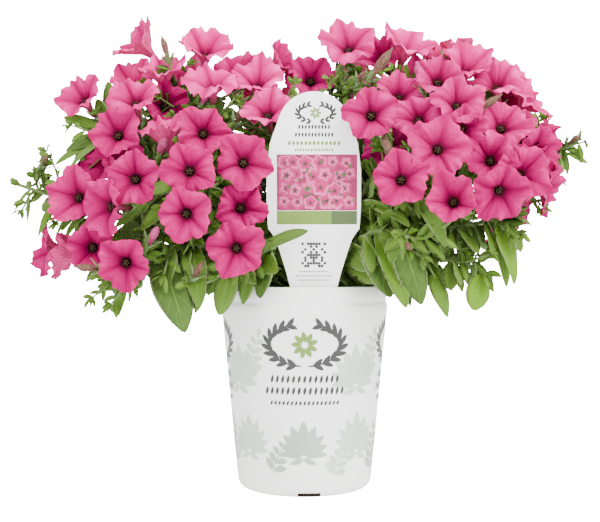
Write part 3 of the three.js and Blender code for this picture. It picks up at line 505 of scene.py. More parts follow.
class Curve:
    """A cubic curve with four control points."""

    STEP = 1e-4

    def __init__(self, *control: Array) -> None:
        """Keeps the control points."""
        self.control = np.array(control, float)

    def point(self, t: Array | float) -> Array:
        """Points at t: the control points weighted by the cubic Bernstein terms."""
        t = np.asarray(t, float)[..., None]
        a, b, c, d = self.control
        u = 1 - t
        return u**3 * a + 3 * u * u * t * b + 3 * u * t * t * c + t**3 * d

    def tangent(self, t: Array | float) -> Array:
        """Unit tangents at t, from two points close by."""
        ends = np.clip(np.array([t - self.STEP, t + self.STEP]), 0, 1)
        return unit(self.point(ends[1]) - self.point(ends[0]))


@dataclass
class Bloom:
    """A flower's own frame: its face looks along axis, and its first lobe points along right."""

    at: Array
    axis: Array
    right: Array
    up: Array
    wave: float
    cup: float
    radius: float

    def place(self, r: Array | float, angle: Array | float, height: Array | float) -> Array:
        """Points from their own radius, angle and height along the axis."""
        r, angle, height = (a[..., None] for a in np.broadcast_arrays(r, angle, height))
        around = r * np.cos(angle) * self.right + r * np.sin(angle) * self.up
        return self.at + around + height * self.axis

    def dish(self, r: Array, angle: Array) -> Array:
        """How far the petals stand forwards: the radius squared, by the cup and a slow wave."""
        bend = 0.8 * self.cup + 0.05 * np.sin(2 * angle + self.wave)
        return self.radius * (r / self.radius) ** 2 * bend

    def balls(self) -> Array:
        """The balls that stand for the flower, as rows of x, y, z and radius."""
        rim = self.place(0.84 * self.radius, np.arange(10) * math.pi / 5, 1.0)
        half = self.place(0.42 * self.radius, np.arange(LOBES) * 2 * math.pi / LOBES, -0.5)
        tube = self.place(0.0, 0.0, np.array([-2.0, -7.0, -12.0, -17.0]))
        radii = [3.4] * 10 + [3.6] * LOBES + [4.0, 3.6, 3.2, 3.0]
        return np.column_stack([np.concatenate([rim, half, tube]), radii])


@dataclass
class Shoot:
    """One shoot of a leafy stem: its curve, and the joints where the solid bends."""

    owner: int
    number: int
    curve: Curve
    phase: float
    joints: Array = field(init=False)
    length: float = field(init=False)

    def __post_init__(self) -> None:
        """Works out the joints and the length along them."""
        self.joints = self.curve.point(np.linspace(0, 1, STEM_STEPS + 1))
        self.length = float(np.linalg.norm(np.diff(self.joints, axis=0), axis=1).sum())

    def at(self, along: float) -> Array:
        """The point that far along the joints, which each span equally much of it."""
        step = min(int(along * STEM_STEPS), STEM_STEPS - 1)
        return mix(self.joints[step], self.joints[step + 1], along * STEM_STEPS - step)

    def balls(self) -> Array:
        """The balls that stand for the shoot and its crown."""
        rows = [[*self.joints[0], CROWN_RADIUS + 1]]
        for i in range(1, 17):
            rows.append([*self.at(i / 16), mix(STEM_ROOT_RADIUS, STEM_TIP_RADIUS, i / 16) + 0.5])
        return np.array(rows)


@dataclass
class Leaf:
    """A blade from root along direction, which droops by the square of the way along it."""

    root: Array
    direction: Array
    length: float
    width: float
    droop: float
    bright: float = 0.3
    side: Array = field(init=False)

    def __post_init__(self) -> None:
        """Works out the way across the blade, whose upper face turns to the sky."""
        normal = unit(np.array([0, 0, 1]) - self.direction[2] * self.direction)
        self.side = np.cross(self.direction, normal)

    def at(self, t: Array | float) -> Array:
        """Points on the midrib at t, from 0 at the root to 1 at the tip."""
        t = np.asarray(t, float)[..., None]
        drop = np.array([0, 0, self.droop * self.length])
        return self.root + self.length * t * self.direction - t * t * drop

    def balls(self) -> Array:
        """The balls that stand for the blade."""
        rows = [[*self.at(1.0), 1.2]]
        for t in (0.3, 0.55, 0.8):
            half = 0.5 * self.width * math.sin(math.pi * min(1, 0.2 + 0.75 * t))
            rows.append([*self.at(t), min(half, 2.5)])
            for hand in (-1, 1):
                rows.append([*(self.at(t) + hand * 0.65 * half * self.side), max(1.3, 0.35 * half)])
        return np.array(rows)


@dataclass
class Stalk:
    """A flower's stalk, from its shoot to the foot of the calyx."""

    owner: int
    bloom: Bloom
    curve: Curve


def leaf_to(root: Array, tip: tuple, width: float, bright: float) -> Leaf:
    """A broad drooping leaf from its root to about its tip."""
    chord = np.array(tip) - root
    length = float(np.linalg.norm(chord))
    return Leaf(root, chord / length + (0, 0, BROAD_DROOP), length, width, BROAD_DROOP, bright)


def wish_of(root: Array) -> Array:
    """Where a leaf rooted there would like to look: outwards, up, and to the nearer of front and back."""
    return 0.7 * unit(root - DOME_CENTRE) + (0, math.copysign(1.0, root[1] - 25), 0.4)


class Room:
    """What is already placed, as balls with their owners, and the test for free room."""

    def __init__(self) -> None:
        """Starts with nothing placed."""
        self.balls = np.zeros((0, 4))
        self.owners = np.zeros(0, int)

    def place(self, owner: int, balls: Array) -> None:
        """Adds balls of one owner."""
        self.balls = np.concatenate([self.balls, balls])
        self.owners = np.concatenate([self.owners, np.full(len(balls), owner)])

    @staticmethod
    def off_holder(balls: Array) -> Array:
        """Whether each ball keeps clear of the pot, the soil and the label."""
        x, y, z, radius = balls.T
        from_axis = np.hypot(x, y)
        over_rim = z > POT_HEIGHT + 1.5 * HOLDER_GAP + radius
        inside = from_axis < RIM_RADIUS - POT_WALL - 1.5 * HOLDER_GAP - radius
        outside = from_axis > COLLAR_RADIUS + HOLDER_GAP + radius
        off_pot = over_rim | inside | outside
        off_soil = outside | (z >= SOIL_LEVEL + 3 * HOLDER_GAP + radius)
        label_y = LABEL_Y - (z - SOIL_LEVEL) * math.tan(LABEL_LEAN)
        widening = LABEL_SHOULDER_SLOPE * np.maximum(0, z - LABEL_SHOULDER_LEVEL)
        half_width = np.minimum(LABEL_HALF_WIDTH, LABEL_NECK_HALF_WIDTH + widening)
        beside = np.abs(x - LABEL_X) > half_width + HOLDER_GAP + radius
        off_plate = np.abs(y - label_y) > 1.5 * HOLDER_GAP + radius
        return off_pot & off_soil & (beside | off_plate | (z > LABEL_TOP + HOLDER_GAP + radius))

    def is_free(self, balls: Array, root: Array, own: int = -1, lowest_owner: int = -1) -> bool:
        """Whether balls keep clear of the holder and of all that is placed.

        Args:
            balls: the new piece, as rows of x, y, z and radius.
            root: what stands round this point is left out of the test.
            own: the owner that the piece may touch.
            lowest_owner: only owners from this number on are tested.

        Returns:
            True where nothing touches.
        """
        away = np.linalg.norm(self.balls[:, :3] - root, axis=1) > ROOT_RADIUS
        others = self.balls[away & (self.owners != own) & (self.owners >= lowest_owner)]
        gaps = np.linalg.norm(balls[:, None, :3] - others[None, :, :3], axis=2)
        return bool(self.off_holder(balls).all() and (gaps > others[:, 3] + balls[:, 3:]).all())


class PlantPlan:
    """Where each flower, shoot, stalk and leaf of the plant lies: the same rule as the solids'."""

    def __init__(self) -> None:
        """Works the whole plan out, in the solids' own order."""
        self.stream = Stream(SEED)
        self.room = Room()
        self.blooms = self.plan_blooms()
        self.shoots = self.plan_shoots()
        for i, bloom in enumerate(self.blooms):
            self.room.place(FLOWER_OWNER + i, bloom.balls())
        for shoot in self.shoots:
            self.room.place(shoot.owner, shoot.balls())
        self.stalks: list[Stalk] = []
        self.more_stalks: list[Stalk] = []
        for i, bloom in enumerate(self.blooms):
            self.stalks.append(self.plan_stalk(bloom, FLOWER_OWNER + i))
        self.leaves: list[tuple[int, Leaf]] = []
        for spec in BROAD_LEAVES:
            self.plan_broad_leaf(*spec)
        for shoot in self.shoots:
            self.plan_shoot_leaves(shoot)

    def plan_bloom(self, at: Array, axis: Array, size: float, cup: float) -> Bloom:
        """A flower with its own roll about its axis and its own slow wave."""
        roll = 2 * math.pi * self.stream.next()
        wave = 2 * math.pi * self.stream.next()
        right = swing(*level_axes(axis), roll)
        return Bloom(at, axis, right, np.cross(axis, right), wave, cup, size / 2)

    def plan_blooms(self) -> list[Bloom]:
        """The flowers at the front, and the far side's bunches of three on the dome."""
        blooms = []
        for at, turn, tilt, size, cup in FRONT_FLOWERS:
            blooms.append(self.plan_bloom(np.array(at, float), facing(turn, tilt), size, cup))
        for turn, tilt in DOME_BUNCHES:
            out = facing(turn, tilt)
            centre = DOME_CENTRE + out * DOME_RADII
            outwards = unit(out / DOME_RADII)
            phase = 2 * math.pi * self.stream.next()
            for i in range(BUNCH_FLOWERS):
                away = swing(*level_axes(outwards), phase + 2 * math.pi * i / BUNCH_FLOWERS)
                at = centre + BUNCH_RADIUS * away - i * outwards
                size = mix(*BUNCH_SIZES, self.stream.next())
                cup = BUNCH_CUP * self.stream.next()
                blooms.append(self.plan_bloom(at, unit(outwards + BUNCH_SPREAD * away), size, cup))
        return blooms

    def plan_shoots(self) -> list[Shoot]:
        """The shoots of every stem, each with a phase for its leaves."""
        shoots = []
        for owner, (foot, courses) in enumerate(LEAFY_STEMS):
            for number, points in enumerate(courses):
                curve = Curve((*foot, FORK_LEVEL), *points)
                shoots.append(Shoot(owner, number, curve, 2 * math.pi * self.stream.next()))
        return shoots

    def plan_stalk(self, bloom: Bloom, own: int, forced: bool = False) -> Stalk | None:
        """The stalk leaves the shoot that it reaches most easily and runs clear of the rest.

        Args:
            bloom: the flower that it carries.
            own: the flower's number as an owner.
            forced: whether it takes the easiest way where none is free.

        Returns:
            The stalk, or None where no way is free.
        """
        foot = bloom.place(0.0, 0.0, -TUBE_LENGTH - CALYX_GAP - CALYX_LENGTH)
        cup = [[*bloom.place(0.0, 0.0, -TUBE_LENGTH + 1), 4.5], [*foot, 2.5]]
        starts = []
        for shoot in self.shoots:
            for i in range(FIRST_STALK_START, STALK_STARTS):
                start = shoot.at(i / STALK_STARTS)
                span = float(np.linalg.norm(start - foot))
                climb = max(0.0, start[2] - foot[2] + 4)
                ahead = max(0.0, float((start - foot) @ bloom.axis) / span + 0.3)
                cost = max(span, SHORTEST_STALK) + CLIMB_COST * climb + AHEAD_COST * ahead
                starts.append((cost, shoot, start, span, i / STALK_STARTS))
        starts.sort(key=lambda entry: entry[0])
        easiest = None
        for _, shoot, start, span, along in starts[:STALK_TRIES]:
            tangent = shoot.curve.tangent(along)
            for lead, lag in STALK_LEADS:
                bend = start + lead * span * tangent
                curve = Curve(start, bend, foot - lag * span * bloom.axis, foot)
                easiest = easiest or Stalk(shoot.owner, bloom, curve)
                way = curve.point(np.linspace(0, 1, 11))
                balls = np.vstack([cup, np.column_stack([way, np.full(11, STALK_RADIUS + 0.5)])])
                if self.room.is_free(balls, start, own):
                    self.room.place(shoot.owner, balls)
                    return Stalk(shoot.owner, bloom, curve)
        return easiest if forced else None

    def plan_broad_leaf(
        self, stem: int, number: int, along: float, tip: tuple, width: float, bright: float
    ) -> None:
        """Places one broad old leaf, from its shoot to its tip over the rim."""
        shoot = next(s for s in self.shoots if (s.owner, s.number) == (stem, number))
        leaf = leaf_to(shoot.at(along), tip, width, bright)
        self.leaves.append((stem, leaf))
        self.room.place(stem, leaf.balls())

    def plan_shoot_leaves(self, shoot: Shoot) -> None:
        """Places leaves a golden angle apart, which turn or shrink until they have room."""
        for i in range(int((shoot.length - FIRST_LEAF) / LEAF_SPACING) + 1):
            along = min((FIRST_LEAF + i * LEAF_SPACING) / shoot.length, LAST_ROOT)
            root = shoot.at(along)
            tangent = shoot.curve.tangent(along)
            full = mix(*LEAF_LENGTHS, along) * mix(0.88, 1.12, self.stream.next())
            droop = mix(0.1, 0.4, self.stream.next())
            for scale, turn in ((s, t) for s in LEAF_SCALES for t in LEAF_TURNS):
                out = swing(*across(tangent), shoot.phase + GOLDEN_ANGLE * i + turn)
                direction = unit(0.85 * out + 0.53 * tangent)
                if abs(direction[2]) > STEEPEST_LEAF:
                    continue
                leaf = Leaf(root, direction, full * scale, full * scale * LEAF_ASPECT, droop)
                if self.room.is_free(leaf.balls(), root):
                    self.leaves.append((shoot.owner, leaf))
                    self.room.place(shoot.owner, leaf.balls())
                    break


# Making meshes


def loft(rings: Array, first: Array, last: Array) -> tuple[Array, list[Array]]:
    """A closed skin: quads between rings of points, and a fan round a pole at either end.

    Args:
        rings: points shaped (rows, points of a ring, 3).
        first: the pole before the first ring.
        last: the pole after the last ring.

    Returns:
        The points, and the faces as one array of quads and one of triangles, looking outwards.
    """
    rows, n = rings.shape[:2]
    points = np.concatenate([rings.reshape(-1, 3), [first], [last]])
    k = np.arange(n)
    after = (k + 1) % n
    start = np.arange(rows - 1)[:, None] * n
    quads = np.stack([start + k, start + after, start + n + after, start + n + k], -1).reshape(-1, 4)
    pole = np.full(n, rows * n)
    end = (rows - 1) * n
    fans = np.stack([np.stack([pole, after, k], -1), np.stack([pole + 1, end + k, end + after], -1)])
    faces = [quads, fans.reshape(-1, 3)]
    middle = points.mean(axis=0)
    volume = 0.0
    for block in faces:
        corners = points[block] - middle
        for i in range(1, block.shape[1] - 1):
            normal = np.cross(corners[:, i], corners[:, i + 1])
            volume += float(np.einsum("ij,ij->", corners[:, 0], normal))
    return points, faces if volume > 0 else [block[:, ::-1] for block in faces]


class Skin:
    """One mesh while it grows: closed lofts, with the values that its finish reads."""

    def __init__(self) -> None:
        """Starts empty."""
        self.points: list[Array] = []
        self.faces: list[Array] = []
        self.slots: list[Array] = []
        self.values: dict[str, list[Array]] = {}
        self.count = 0

    def add(
        self, rings: Array, first: Array | None = None, last: Array | None = None, slot: int = 0, **values
    ) -> None:
        """Adds one closed loft.

        Args:
            rings: points shaped (rows, points of a ring, 3).
            first: the pole before the first ring, or None for the ring's middle.
            last: the pole after the last ring, or None for the ring's middle.
            slot: the number of its finish.
            **values: a number, or an array shaped like the rings, for each value by name.
        """
        first = rings[0].mean(axis=0) if first is None else first
        last = rings[-1].mean(axis=0) if last is None else last
        points, faces = loft(rings, first, last)
        shape = rings.shape[:2]
        for name, value in values.items():
            grid = np.asarray(value, float)
            if grid.ndim == 3:
                flat = np.concatenate([grid.reshape(-1, 3), grid[0].mean(0)[None], grid[-1].mean(0)[None]])
            else:
                grid = np.broadcast_to(grid, shape)
                flat = np.concatenate([grid.ravel(), [grid[0].mean(), grid[-1].mean()]])
            self.values.setdefault(name, []).append(flat)
        self.points.append(points)
        for block in faces:
            self.faces.append(block + self.count)
            self.slots.append(np.full(len(block), slot))
        self.count += len(points)

    def piece(
        self, name: str, finishes: list[bpy.types.Material], slot: str, nodes: list[str], smooth: bool = True
    ) -> bpy.types.Object:
        """Makes the object, which rides on the root and stands for its CAD nodes.

        Args:
            name: the piece's name.
            finishes: its materials, by slot number.
            slot: the record's material slot; it is not used.
            nodes: the CAD nodes that it stands for.
            smooth: whether its faces are shaded smooth.

        Returns:
            The object.
        """
        mesh = bpy.data.meshes.new(name)
        points = np.concatenate(self.points) * MM
        loops = np.concatenate([block.ravel() for block in self.faces])
        sizes = np.concatenate([np.full(len(block), block.shape[1]) for block in self.faces])
        mesh.vertices.add(len(points))
        mesh.vertices.foreach_set("co", points.ravel())
        mesh.loops.add(len(loops))
        mesh.loops.foreach_set("vertex_index", loops)
        mesh.polygons.add(len(sizes))
        mesh.polygons.foreach_set("loop_start", np.cumsum(sizes) - sizes)
        mesh.polygons.foreach_set("material_index", np.concatenate(self.slots))
        mesh.polygons.foreach_set("use_smooth", np.full(len(sizes), smooth))
        for label, blocks in self.values.items():
            flat = np.concatenate(blocks)
            kind, key = ("FLOAT_VECTOR", "vector") if flat.ndim == 2 else ("FLOAT", "value")
            mesh.attributes.new(label, kind, "POINT").data.foreach_set(key, flat.ravel())
        mesh.update(calc_edges=True)
        mesh.validate()
        return settle(bpy.data.objects.new(name, mesh), finishes, nodes)


def settle(
    piece: bpy.types.Object, finishes: list[bpy.types.Material], nodes: list[str]
) -> bpy.types.Object:
    """Links a new object, dresses it and says what it stands for.

    Args:
        piece: the object, with its mesh in place.
        finishes: its materials.
        nodes: the CAD nodes that it stands for.

    Returns:
        The same object.
    """
    bpy.context.scene.collection.objects.link(piece)
    for finish in finishes:
        piece.data.materials.append(finish)
    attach(piece, "root")
    if nodes:
        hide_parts(*nodes)
    LOG.info("%s: %d faces, stands for %s", piece.name, len(piece.data.polygons), nodes or "no solid")
    return piece


def ring_of(count: int) -> Array:
    """Equally spaced angles round a full turn."""
    return np.arange(count) * 2 * math.pi / count


def tube_rings(path: Array, radii: Array, sides: int) -> Array:
    """Rings of a round tube: path plus radius times the two directions across each tangent.

    Args:
        path: points along the middle.
        radii: the radius at each of them.
        sides: points of a ring.

    Returns:
        The rings, shaped (rows, sides, 3).
    """
    tangent = unit(np.gradient(path, axis=0))
    side = across(unit(path[-1] - path[0]))[0]
    side = unit(side - (tangent @ side)[:, None] * tangent)
    up = np.cross(side, tangent)
    angle = ring_of(sides)[None, :, None]
    out = np.cos(angle) * side[:, None] + np.sin(angle) * up[:, None]
    return path[:, None] + np.asarray(radii)[:, None, None] * out


def turned_rings(profile: Array, sides: int) -> Array:
    """Rings of a turned shape, from (radius, height) points, about +Z."""
    angle = ring_of(sides)[None]
    r, z = (column[:, None] for column in np.asarray(profile, float).T)
    return np.stack([r * np.cos(angle), r * np.sin(angle), z + 0 * angle], -1)


def eased(profile: Array, rounds: int = 2) -> Array:
    """A profile with its corners cut at a quarter and three quarters of each side, some rounds over."""
    points = np.asarray(profile, float)
    for _ in range(rounds):
        start, end = points[:-1], points[1:]
        cut = np.stack([0.75 * start + 0.25 * end, 0.25 * start + 0.75 * end], 1).reshape(-1, 2)
        points = np.concatenate([points[:1], cut, points[-1:]])
    return points


def smooth_step(low: float, high: float, x: Array) -> Array:
    """0 below low, 1 above high, and an even S between them."""
    t = np.clip((x - low) / (high - low), 0, 1)
    return t * t * (3 - 2 * t)


# Finishes


class Tree:
    """Short calls that build one node tree."""

    def __init__(self, tree: bpy.types.NodeTree) -> None:
        """Keeps the tree."""
        self.tree = tree

    def node(self, kind: str, inputs: dict | None = None, **settings) -> bpy.types.Node:
        """Adds a node.

        Args:
            kind: the node's type name.
            inputs: for each socket by name or number, a value or another node's output.
            **settings: the node's own properties.

        Returns:
            The node.
        """
        node = self.tree.nodes.new(kind)
        for key, value in settings.items():
            setattr(node, key, value)
        for key, value in (inputs or {}).items():
            if isinstance(value, bpy.types.NodeSocket):
                self.tree.links.new(value, node.inputs[key])
            else:
                node.inputs[key].default_value = value
        return node

    def value(self, name: str) -> bpy.types.NodeSocket:
        """A point value of the mesh, by name."""
        return self.node("ShaderNodeAttribute", attribute_name=name).outputs["Fac"]

    def vector(self, name: str) -> bpy.types.NodeSocket:
        """A point vector of the mesh, by name."""
        return self.node("ShaderNodeAttribute", attribute_name=name).outputs["Vector"]

    def place(self) -> bpy.types.NodeSocket:
        """The place on the object."""
        return self.node("ShaderNodeTexCoord").outputs["Object"]

    def maths(self, operation: str, a, b=0.0) -> bpy.types.NodeSocket:
        """One operation on two values, each a number or an output."""
        return self.node("ShaderNodeMath", {0: a, 1: b}, operation=operation).outputs[0]

    def step(self, value, low, high, start: float = 0.0, end: float = 1.0) -> bpy.types.NodeSocket:
        """An even S from start, where value is low, to end, where it is high."""
        inputs = {"Value": value, "From Min": low, "From Max": high, "To Min": start, "To Max": end}
        return self.node("ShaderNodeMapRange", inputs, interpolation_type="SMOOTHSTEP").outputs[0]

    def blend(self, share, a, b) -> bpy.types.NodeSocket:
        """Two colours mixed by share."""
        wrap = [(*c, 1.0) if isinstance(c, tuple) else c for c in (a, b)]
        return self.node("ShaderNodeMix", {0: share, 6: wrap[0], 7: wrap[1]}, data_type="RGBA").outputs[2]

    def glaze(self, colour, paint: Colour, value, low, high, start: float = 0.0, end: float = 1.0):
        """A colour under paint, whose share steps from start, where value is low, to end."""
        return self.blend(self.step(value, low, high, start, end), colour, paint)

    def bump(self, height, distance: float) -> bpy.types.NodeSocket:
        """A normal from a height from 0 to 1, which stands for distance in metres."""
        inputs = {"Height": height, "Distance": distance, "Strength": 1.0}
        return self.node("ShaderNodeBump", inputs).outputs[0]


def mottle_group() -> bpy.types.NodeTree:
    """Uneven growth or moulding as a value round 0.5: a coarse and a fine noise, mixed.

    Returns:
        The node group, with the inputs Vector, Coarse, Fine and Share and the output Value.
    """
    group = bpy.data.node_groups.new("Mottle", "ShaderNodeTree")
    group.interface.new_socket("Vector", in_out="INPUT", socket_type="NodeSocketVector")
    for name in ("Coarse", "Fine", "Share"):
        group.interface.new_socket(name, in_out="INPUT", socket_type="NodeSocketFloat")
    group.interface.new_socket("Value", in_out="OUTPUT", socket_type="NodeSocketFloat")
    tree = Tree(group)
    given = tree.node("NodeGroupInput").outputs
    noises = []
    for scale in ("Coarse", "Fine"):
        inputs = {"Vector": given["Vector"], "Scale": given[scale], "Detail": 3.0}
        noises.append(tree.node("ShaderNodeTexNoise", inputs).outputs[0])
    mixed = tree.node("ShaderNodeMix", {0: given["Share"], 2: noises[0], 3: noises[1]}, data_type="FLOAT")
    tree.node("NodeGroupOutput", {"Value": mixed.outputs[0]})
    return group


class Palette:
    """The finishes, each made once, and the node group that they share."""

    def __init__(self) -> None:
        """Makes the shared group."""
        self.mottle = mottle_group()
        self.made: dict[str, bpy.types.Material] = {}

    def mottled(self, tree: Tree, vector, coarse: float, fine: float, share: float) -> bpy.types.NodeSocket:
        """Places the mottle group in a tree with its own scales."""
        inputs = {"Vector": vector, "Coarse": coarse, "Fine": fine, "Share": share}
        return tree.node("ShaderNodeGroup", inputs, node_tree=self.mottle).outputs[0]

    def material(self, finish: "Finish") -> bpy.types.Material:
        """The material of a finish, made on its first use."""
        if finish.name not in self.made:
            material = bpy.data.materials.new(finish.name)
            material.use_nodes = True
            tree = Tree(material.node_tree)
            surface = material.node_tree.nodes["Principled BSDF"]
            finish.dress(tree, surface, self)
            self.made[finish.name] = material
        return self.made[finish.name]


@dataclass(frozen=True)
class Finish:
    """A finish by name; dress() builds its nodes."""

    name: str

    def dress(self, tree: Tree, surface: bpy.types.Node, palette: Palette) -> None:
        """Builds the nodes in tree and links them to the surface shader."""
        raise NotImplementedError

    @staticmethod
    def set_up(surface: bpy.types.Node, **values: float | tuple) -> None:
        """Sets the shader's constants; an underscore in a name stands for a space."""
        for key, value in values.items():
            surface.inputs[key.replace("_", " ")].default_value = value

    @staticmethod
    def join(tree: Tree, surface: bpy.types.Node, **outputs: bpy.types.NodeSocket) -> None:
        """Links outputs to the shader's inputs; an underscore in a name stands for a space."""
        for key, output in outputs.items():
            tree.tree.links.new(output, surface.inputs[key.replace("_", " ")])


@dataclass(frozen=True)
class PetalFinish(Finish):
    """Velvety petals: rose with dark rib veins, fine rays, a dark throat and a pale veined back, with painted
    shade in the creases, painted highlights and painted top light.
    """

    rose: Colour = (0.315, 0.0001, 0.082)
    # Deep rose: the petals' own colour near the throat and in the rays, and painted shade in the creases
    # along the ribs.
    deep: Colour = (0.272, 0.0001, 0.071)
    # The thin dark vein in each rib, darkened further as painted shade in the creases.
    vein_and_crease_shade: Colour = (0.185, 0.0001, 0.048)
    # The light, pale and sheen colours are painted highlights and painted top light; only in part are they
    # the petals' own paler rims and streaks.
    light: Colour = (0.480, 0.0040, 0.135)
    pale: Colour = (0.570, 0.0180, 0.185)
    sheen: Colour = (0.740, 0.0700, 0.300)
    glow: Colour = (0.195, 0.0004, 0.048)
    throat: Colour = (0.070, 0.0090, 0.018)
    back: Colour = (0.620, 0.0600, 0.220)
    back_vein: Colour = (0.420, 0.0180, 0.125)
    tube: Colour = (0.210, 0.0500, 0.060)

    def dress(self, tree: Tree, surface: bpy.types.Node, palette: Palette) -> None:
        """Colours by the values reach, rib, face and tone, with rays along the vector ray; tone is mostly
        painted top light.
        """
        reach, rib, face, tone = (tree.value(n) for n in ("reach", "rib", "face", "tone"))
        rays = palette.mottled(tree, tree.vector("ray"), 5.0, 21.0, 0.6)
        patches = palette.mottled(tree, tree.place(), 110.0, 900.0, 0.3)
        colour = tree.blend(tree.step(reach, 0.0, 0.5), self.deep, self.rose)
        # Painted highlight: the light colour on the puffs between the sunken ribs, out towards the rim, in
        # random patches.
        puff = tree.maths("MULTIPLY", tree.step(reach, 0.25, 1.0), tree.step(rib, 0.05, 0.6, 0.15, 1.0))
        puff = tree.maths("MULTIPLY", puff, tree.step(patches, 0.38, 0.62, 0.0, 1.0))
        colour = tree.blend(puff, colour, self.light)
        # Pale streaks along the rays: partly the petals' own veining, partly painted highlights on the
        # pleats.
        streaks = tree.maths("MULTIPLY", tree.step(rays, 0.30, 0.46, 0.7, 0.0), tree.step(reach, 0.1, 0.6))
        colour = tree.blend(streaks, colour, self.light)
        # A paler rim: partly the petals' own edge, partly a painted edge highlight.
        colour = tree.glaze(colour, self.light, reach, 0.90, 1.0, 0.0, 0.55)
        colour = tree.glaze(colour, self.deep, rays, 0.48, 0.66, 0.0, 0.7)
        width = tree.maths("MULTIPLY", rib, tree.step(reach, 0.0, 1.0, 0.4, 1.0))
        # Paler for flowers that face up: painted top light, with some random tone.
        colour = tree.blend(tree.maths("MULTIPLY", tone, 0.5), colour, self.pale)
        # Painted sheen highlight on the puffs, stronger on flowers that face up.
        shine = tree.maths("MULTIPLY", puff, tree.step(tone, 0.0, 1.0, 0.12, 0.75))
        colour = tree.blend(shine, colour, self.sheen)
        # Darker along the ribs: a thin dark vein, under wider soft bands of painted shade in the creases.
        ribs = ((self.deep, 0.45, 0.4), (self.deep, 0.14, 0.6), (self.vein_and_crease_shade, 0.05, 0.8))
        for paint, reaches, share in ribs:
            colour = tree.glaze(colour, paint, width, 0.0, reaches, share, 0.0)
        star = tree.maths("SUBTRACT", reach, tree.step(rib, 0.0, 0.7, 0.06, 0.0))
        star = tree.maths("SUBTRACT", star, tree.step(rays, 0.35, 0.7, -0.05, 0.08))
        colour = tree.glaze(colour, self.glow, star, 0.02, 0.34, 0.9, 0.0)
        colour = tree.glaze(colour, self.throat, star, -0.04, 0.12, 1.0, 0.0)
        under = tree.glaze(self.back, self.back_vein, rays, 0.40, 0.62, 0.0, 0.8)
        under = tree.glaze(under, self.back_vein, width, 0.0, 0.1, 0.6, 0.0)
        under = tree.glaze(under, self.tube, reach, -0.75, 0.15, 1.0, 0.0)
        colour = tree.blend(face, under, colour)
        # Lighter for flowers that face up: painted top light, with some random tone.
        shade = tree.step(tone, 0.0, 1.0, 0.95, 1.27)
        colour = tree.node("ShaderNodeHueSaturation", {"Value": shade, "Color": colour}).outputs[0]
        self.set_up(surface, Roughness=0.55, Subsurface_Weight=0.1, Subsurface_Scale=0.001)
        self.set_up(surface, Specular_IOR_Level=0.05, Specular_Tint=(1.0, 0.2, 0.5, 1.0))
        self.join(tree, surface, Base_Color=colour, Normal=tree.bump(rays, 0.0007))


@dataclass(frozen=True)
class LeafFinish(Finish):
    """Soft hairy leaves: a pale midrib, faint side veins, a pale rim, a dull lower face, and a yellow-green
    on bright leaves that is partly painted backlight glow.
    """

    dark: Colour = (0.046, 0.092, 0.0170)
    middle: Colour = (0.112, 0.212, 0.0300)
    lime_and_backlight_glow: Colour = (0.100, 0.212, 0.0090)
    rib: Colour = (0.165, 0.265, 0.045)
    hair: Colour = (0.420, 0.500, 0.250)
    under: Colour = (0.110, 0.180, 0.050)

    def dress(self, tree: Tree, surface: bpy.types.Node, palette: Palette) -> None:
        """Colours by the values along, sideways, under, tone and bright."""
        along, sideways, under, tone, bright = (
            tree.value(n) for n in ("along", "sideways", "under", "tone", "bright")
        )
        mottle = palette.mottled(tree, tree.place(), 160.0, 1400.0, 0.45)
        colour = tree.blend(tone, self.dark, self.middle)
        # Yellow-green by bright: the young leaves' own colour, and painted backlight glow in place of light
        # through the blade.
        colour = tree.blend(bright, colour, self.lime_and_backlight_glow)
        colour = tree.glaze(colour, self.rib, mottle, 0.42, 0.72, 0.0, 0.15)
        off_rib = tree.maths("ABSOLUTE", sideways)
        slant = tree.maths("MULTIPLY", off_rib, VEIN_SLANT)
        pairs = tree.maths("SUBTRACT", tree.maths("MULTIPLY", along, VEIN_PAIRS), slant)
        veins = tree.step(tree.maths("PINGPONG", pairs, 0.5), 0.0, 0.11, 0.22, 0.0)
        colour = tree.blend(veins, colour, self.rib)
        taper = tree.step(along, 0.0, 0.9, 0.13, 0.02)
        colour = tree.glaze(colour, self.rib, tree.maths("DIVIDE", off_rib, taper), 0.3, 1.0, 0.6, 0.0)
        colour = tree.glaze(colour, self.hair, off_rib, 0.84, 1.0, 0.0, 0.7)
        colour = tree.blend(tree.maths("MULTIPLY", under, 0.6), colour, self.under)
        self.set_up(surface, Roughness=0.6, Specular_IOR_Level=0.08)
        self.set_up(surface, Sheen_Weight=0.02, Sheen_Roughness=0.45, Sheen_Tint=(0.8, 1.0, 0.4, 1.0))
        relief = tree.maths("SUBTRACT", mottle, tree.maths("MULTIPLY", veins, 1.6))
        self.join(tree, surface, Base_Color=colour, Normal=tree.bump(relief, 0.0005))


@dataclass(frozen=True)
class HairyFinish(Finish):
    """Stems, calyxes, buds and anthers: two colours in fine streaks, under a pale down."""

    low: Colour
    high: Colour
    coarse: float = 90.0
    down: float = 0.5

    def dress(self, tree: Tree, surface: bpy.types.Node, palette: Palette) -> None:
        """Mixes the two colours by the mottle."""
        mottle = palette.mottled(tree, tree.place(), self.coarse, 1500.0, 0.5)
        colour = tree.blend(tree.step(mottle, 0.35, 0.65), self.low, self.high)
        self.set_up(surface, Roughness=0.65, Specular_IOR_Level=0.25)
        self.set_up(surface, Sheen_Weight=self.down, Sheen_Roughness=0.4, Sheen_Tint=(0.9, 1.0, 0.8, 1.0))
        self.join(tree, surface, Base_Color=colour, Normal=tree.bump(mottle, 0.0004))


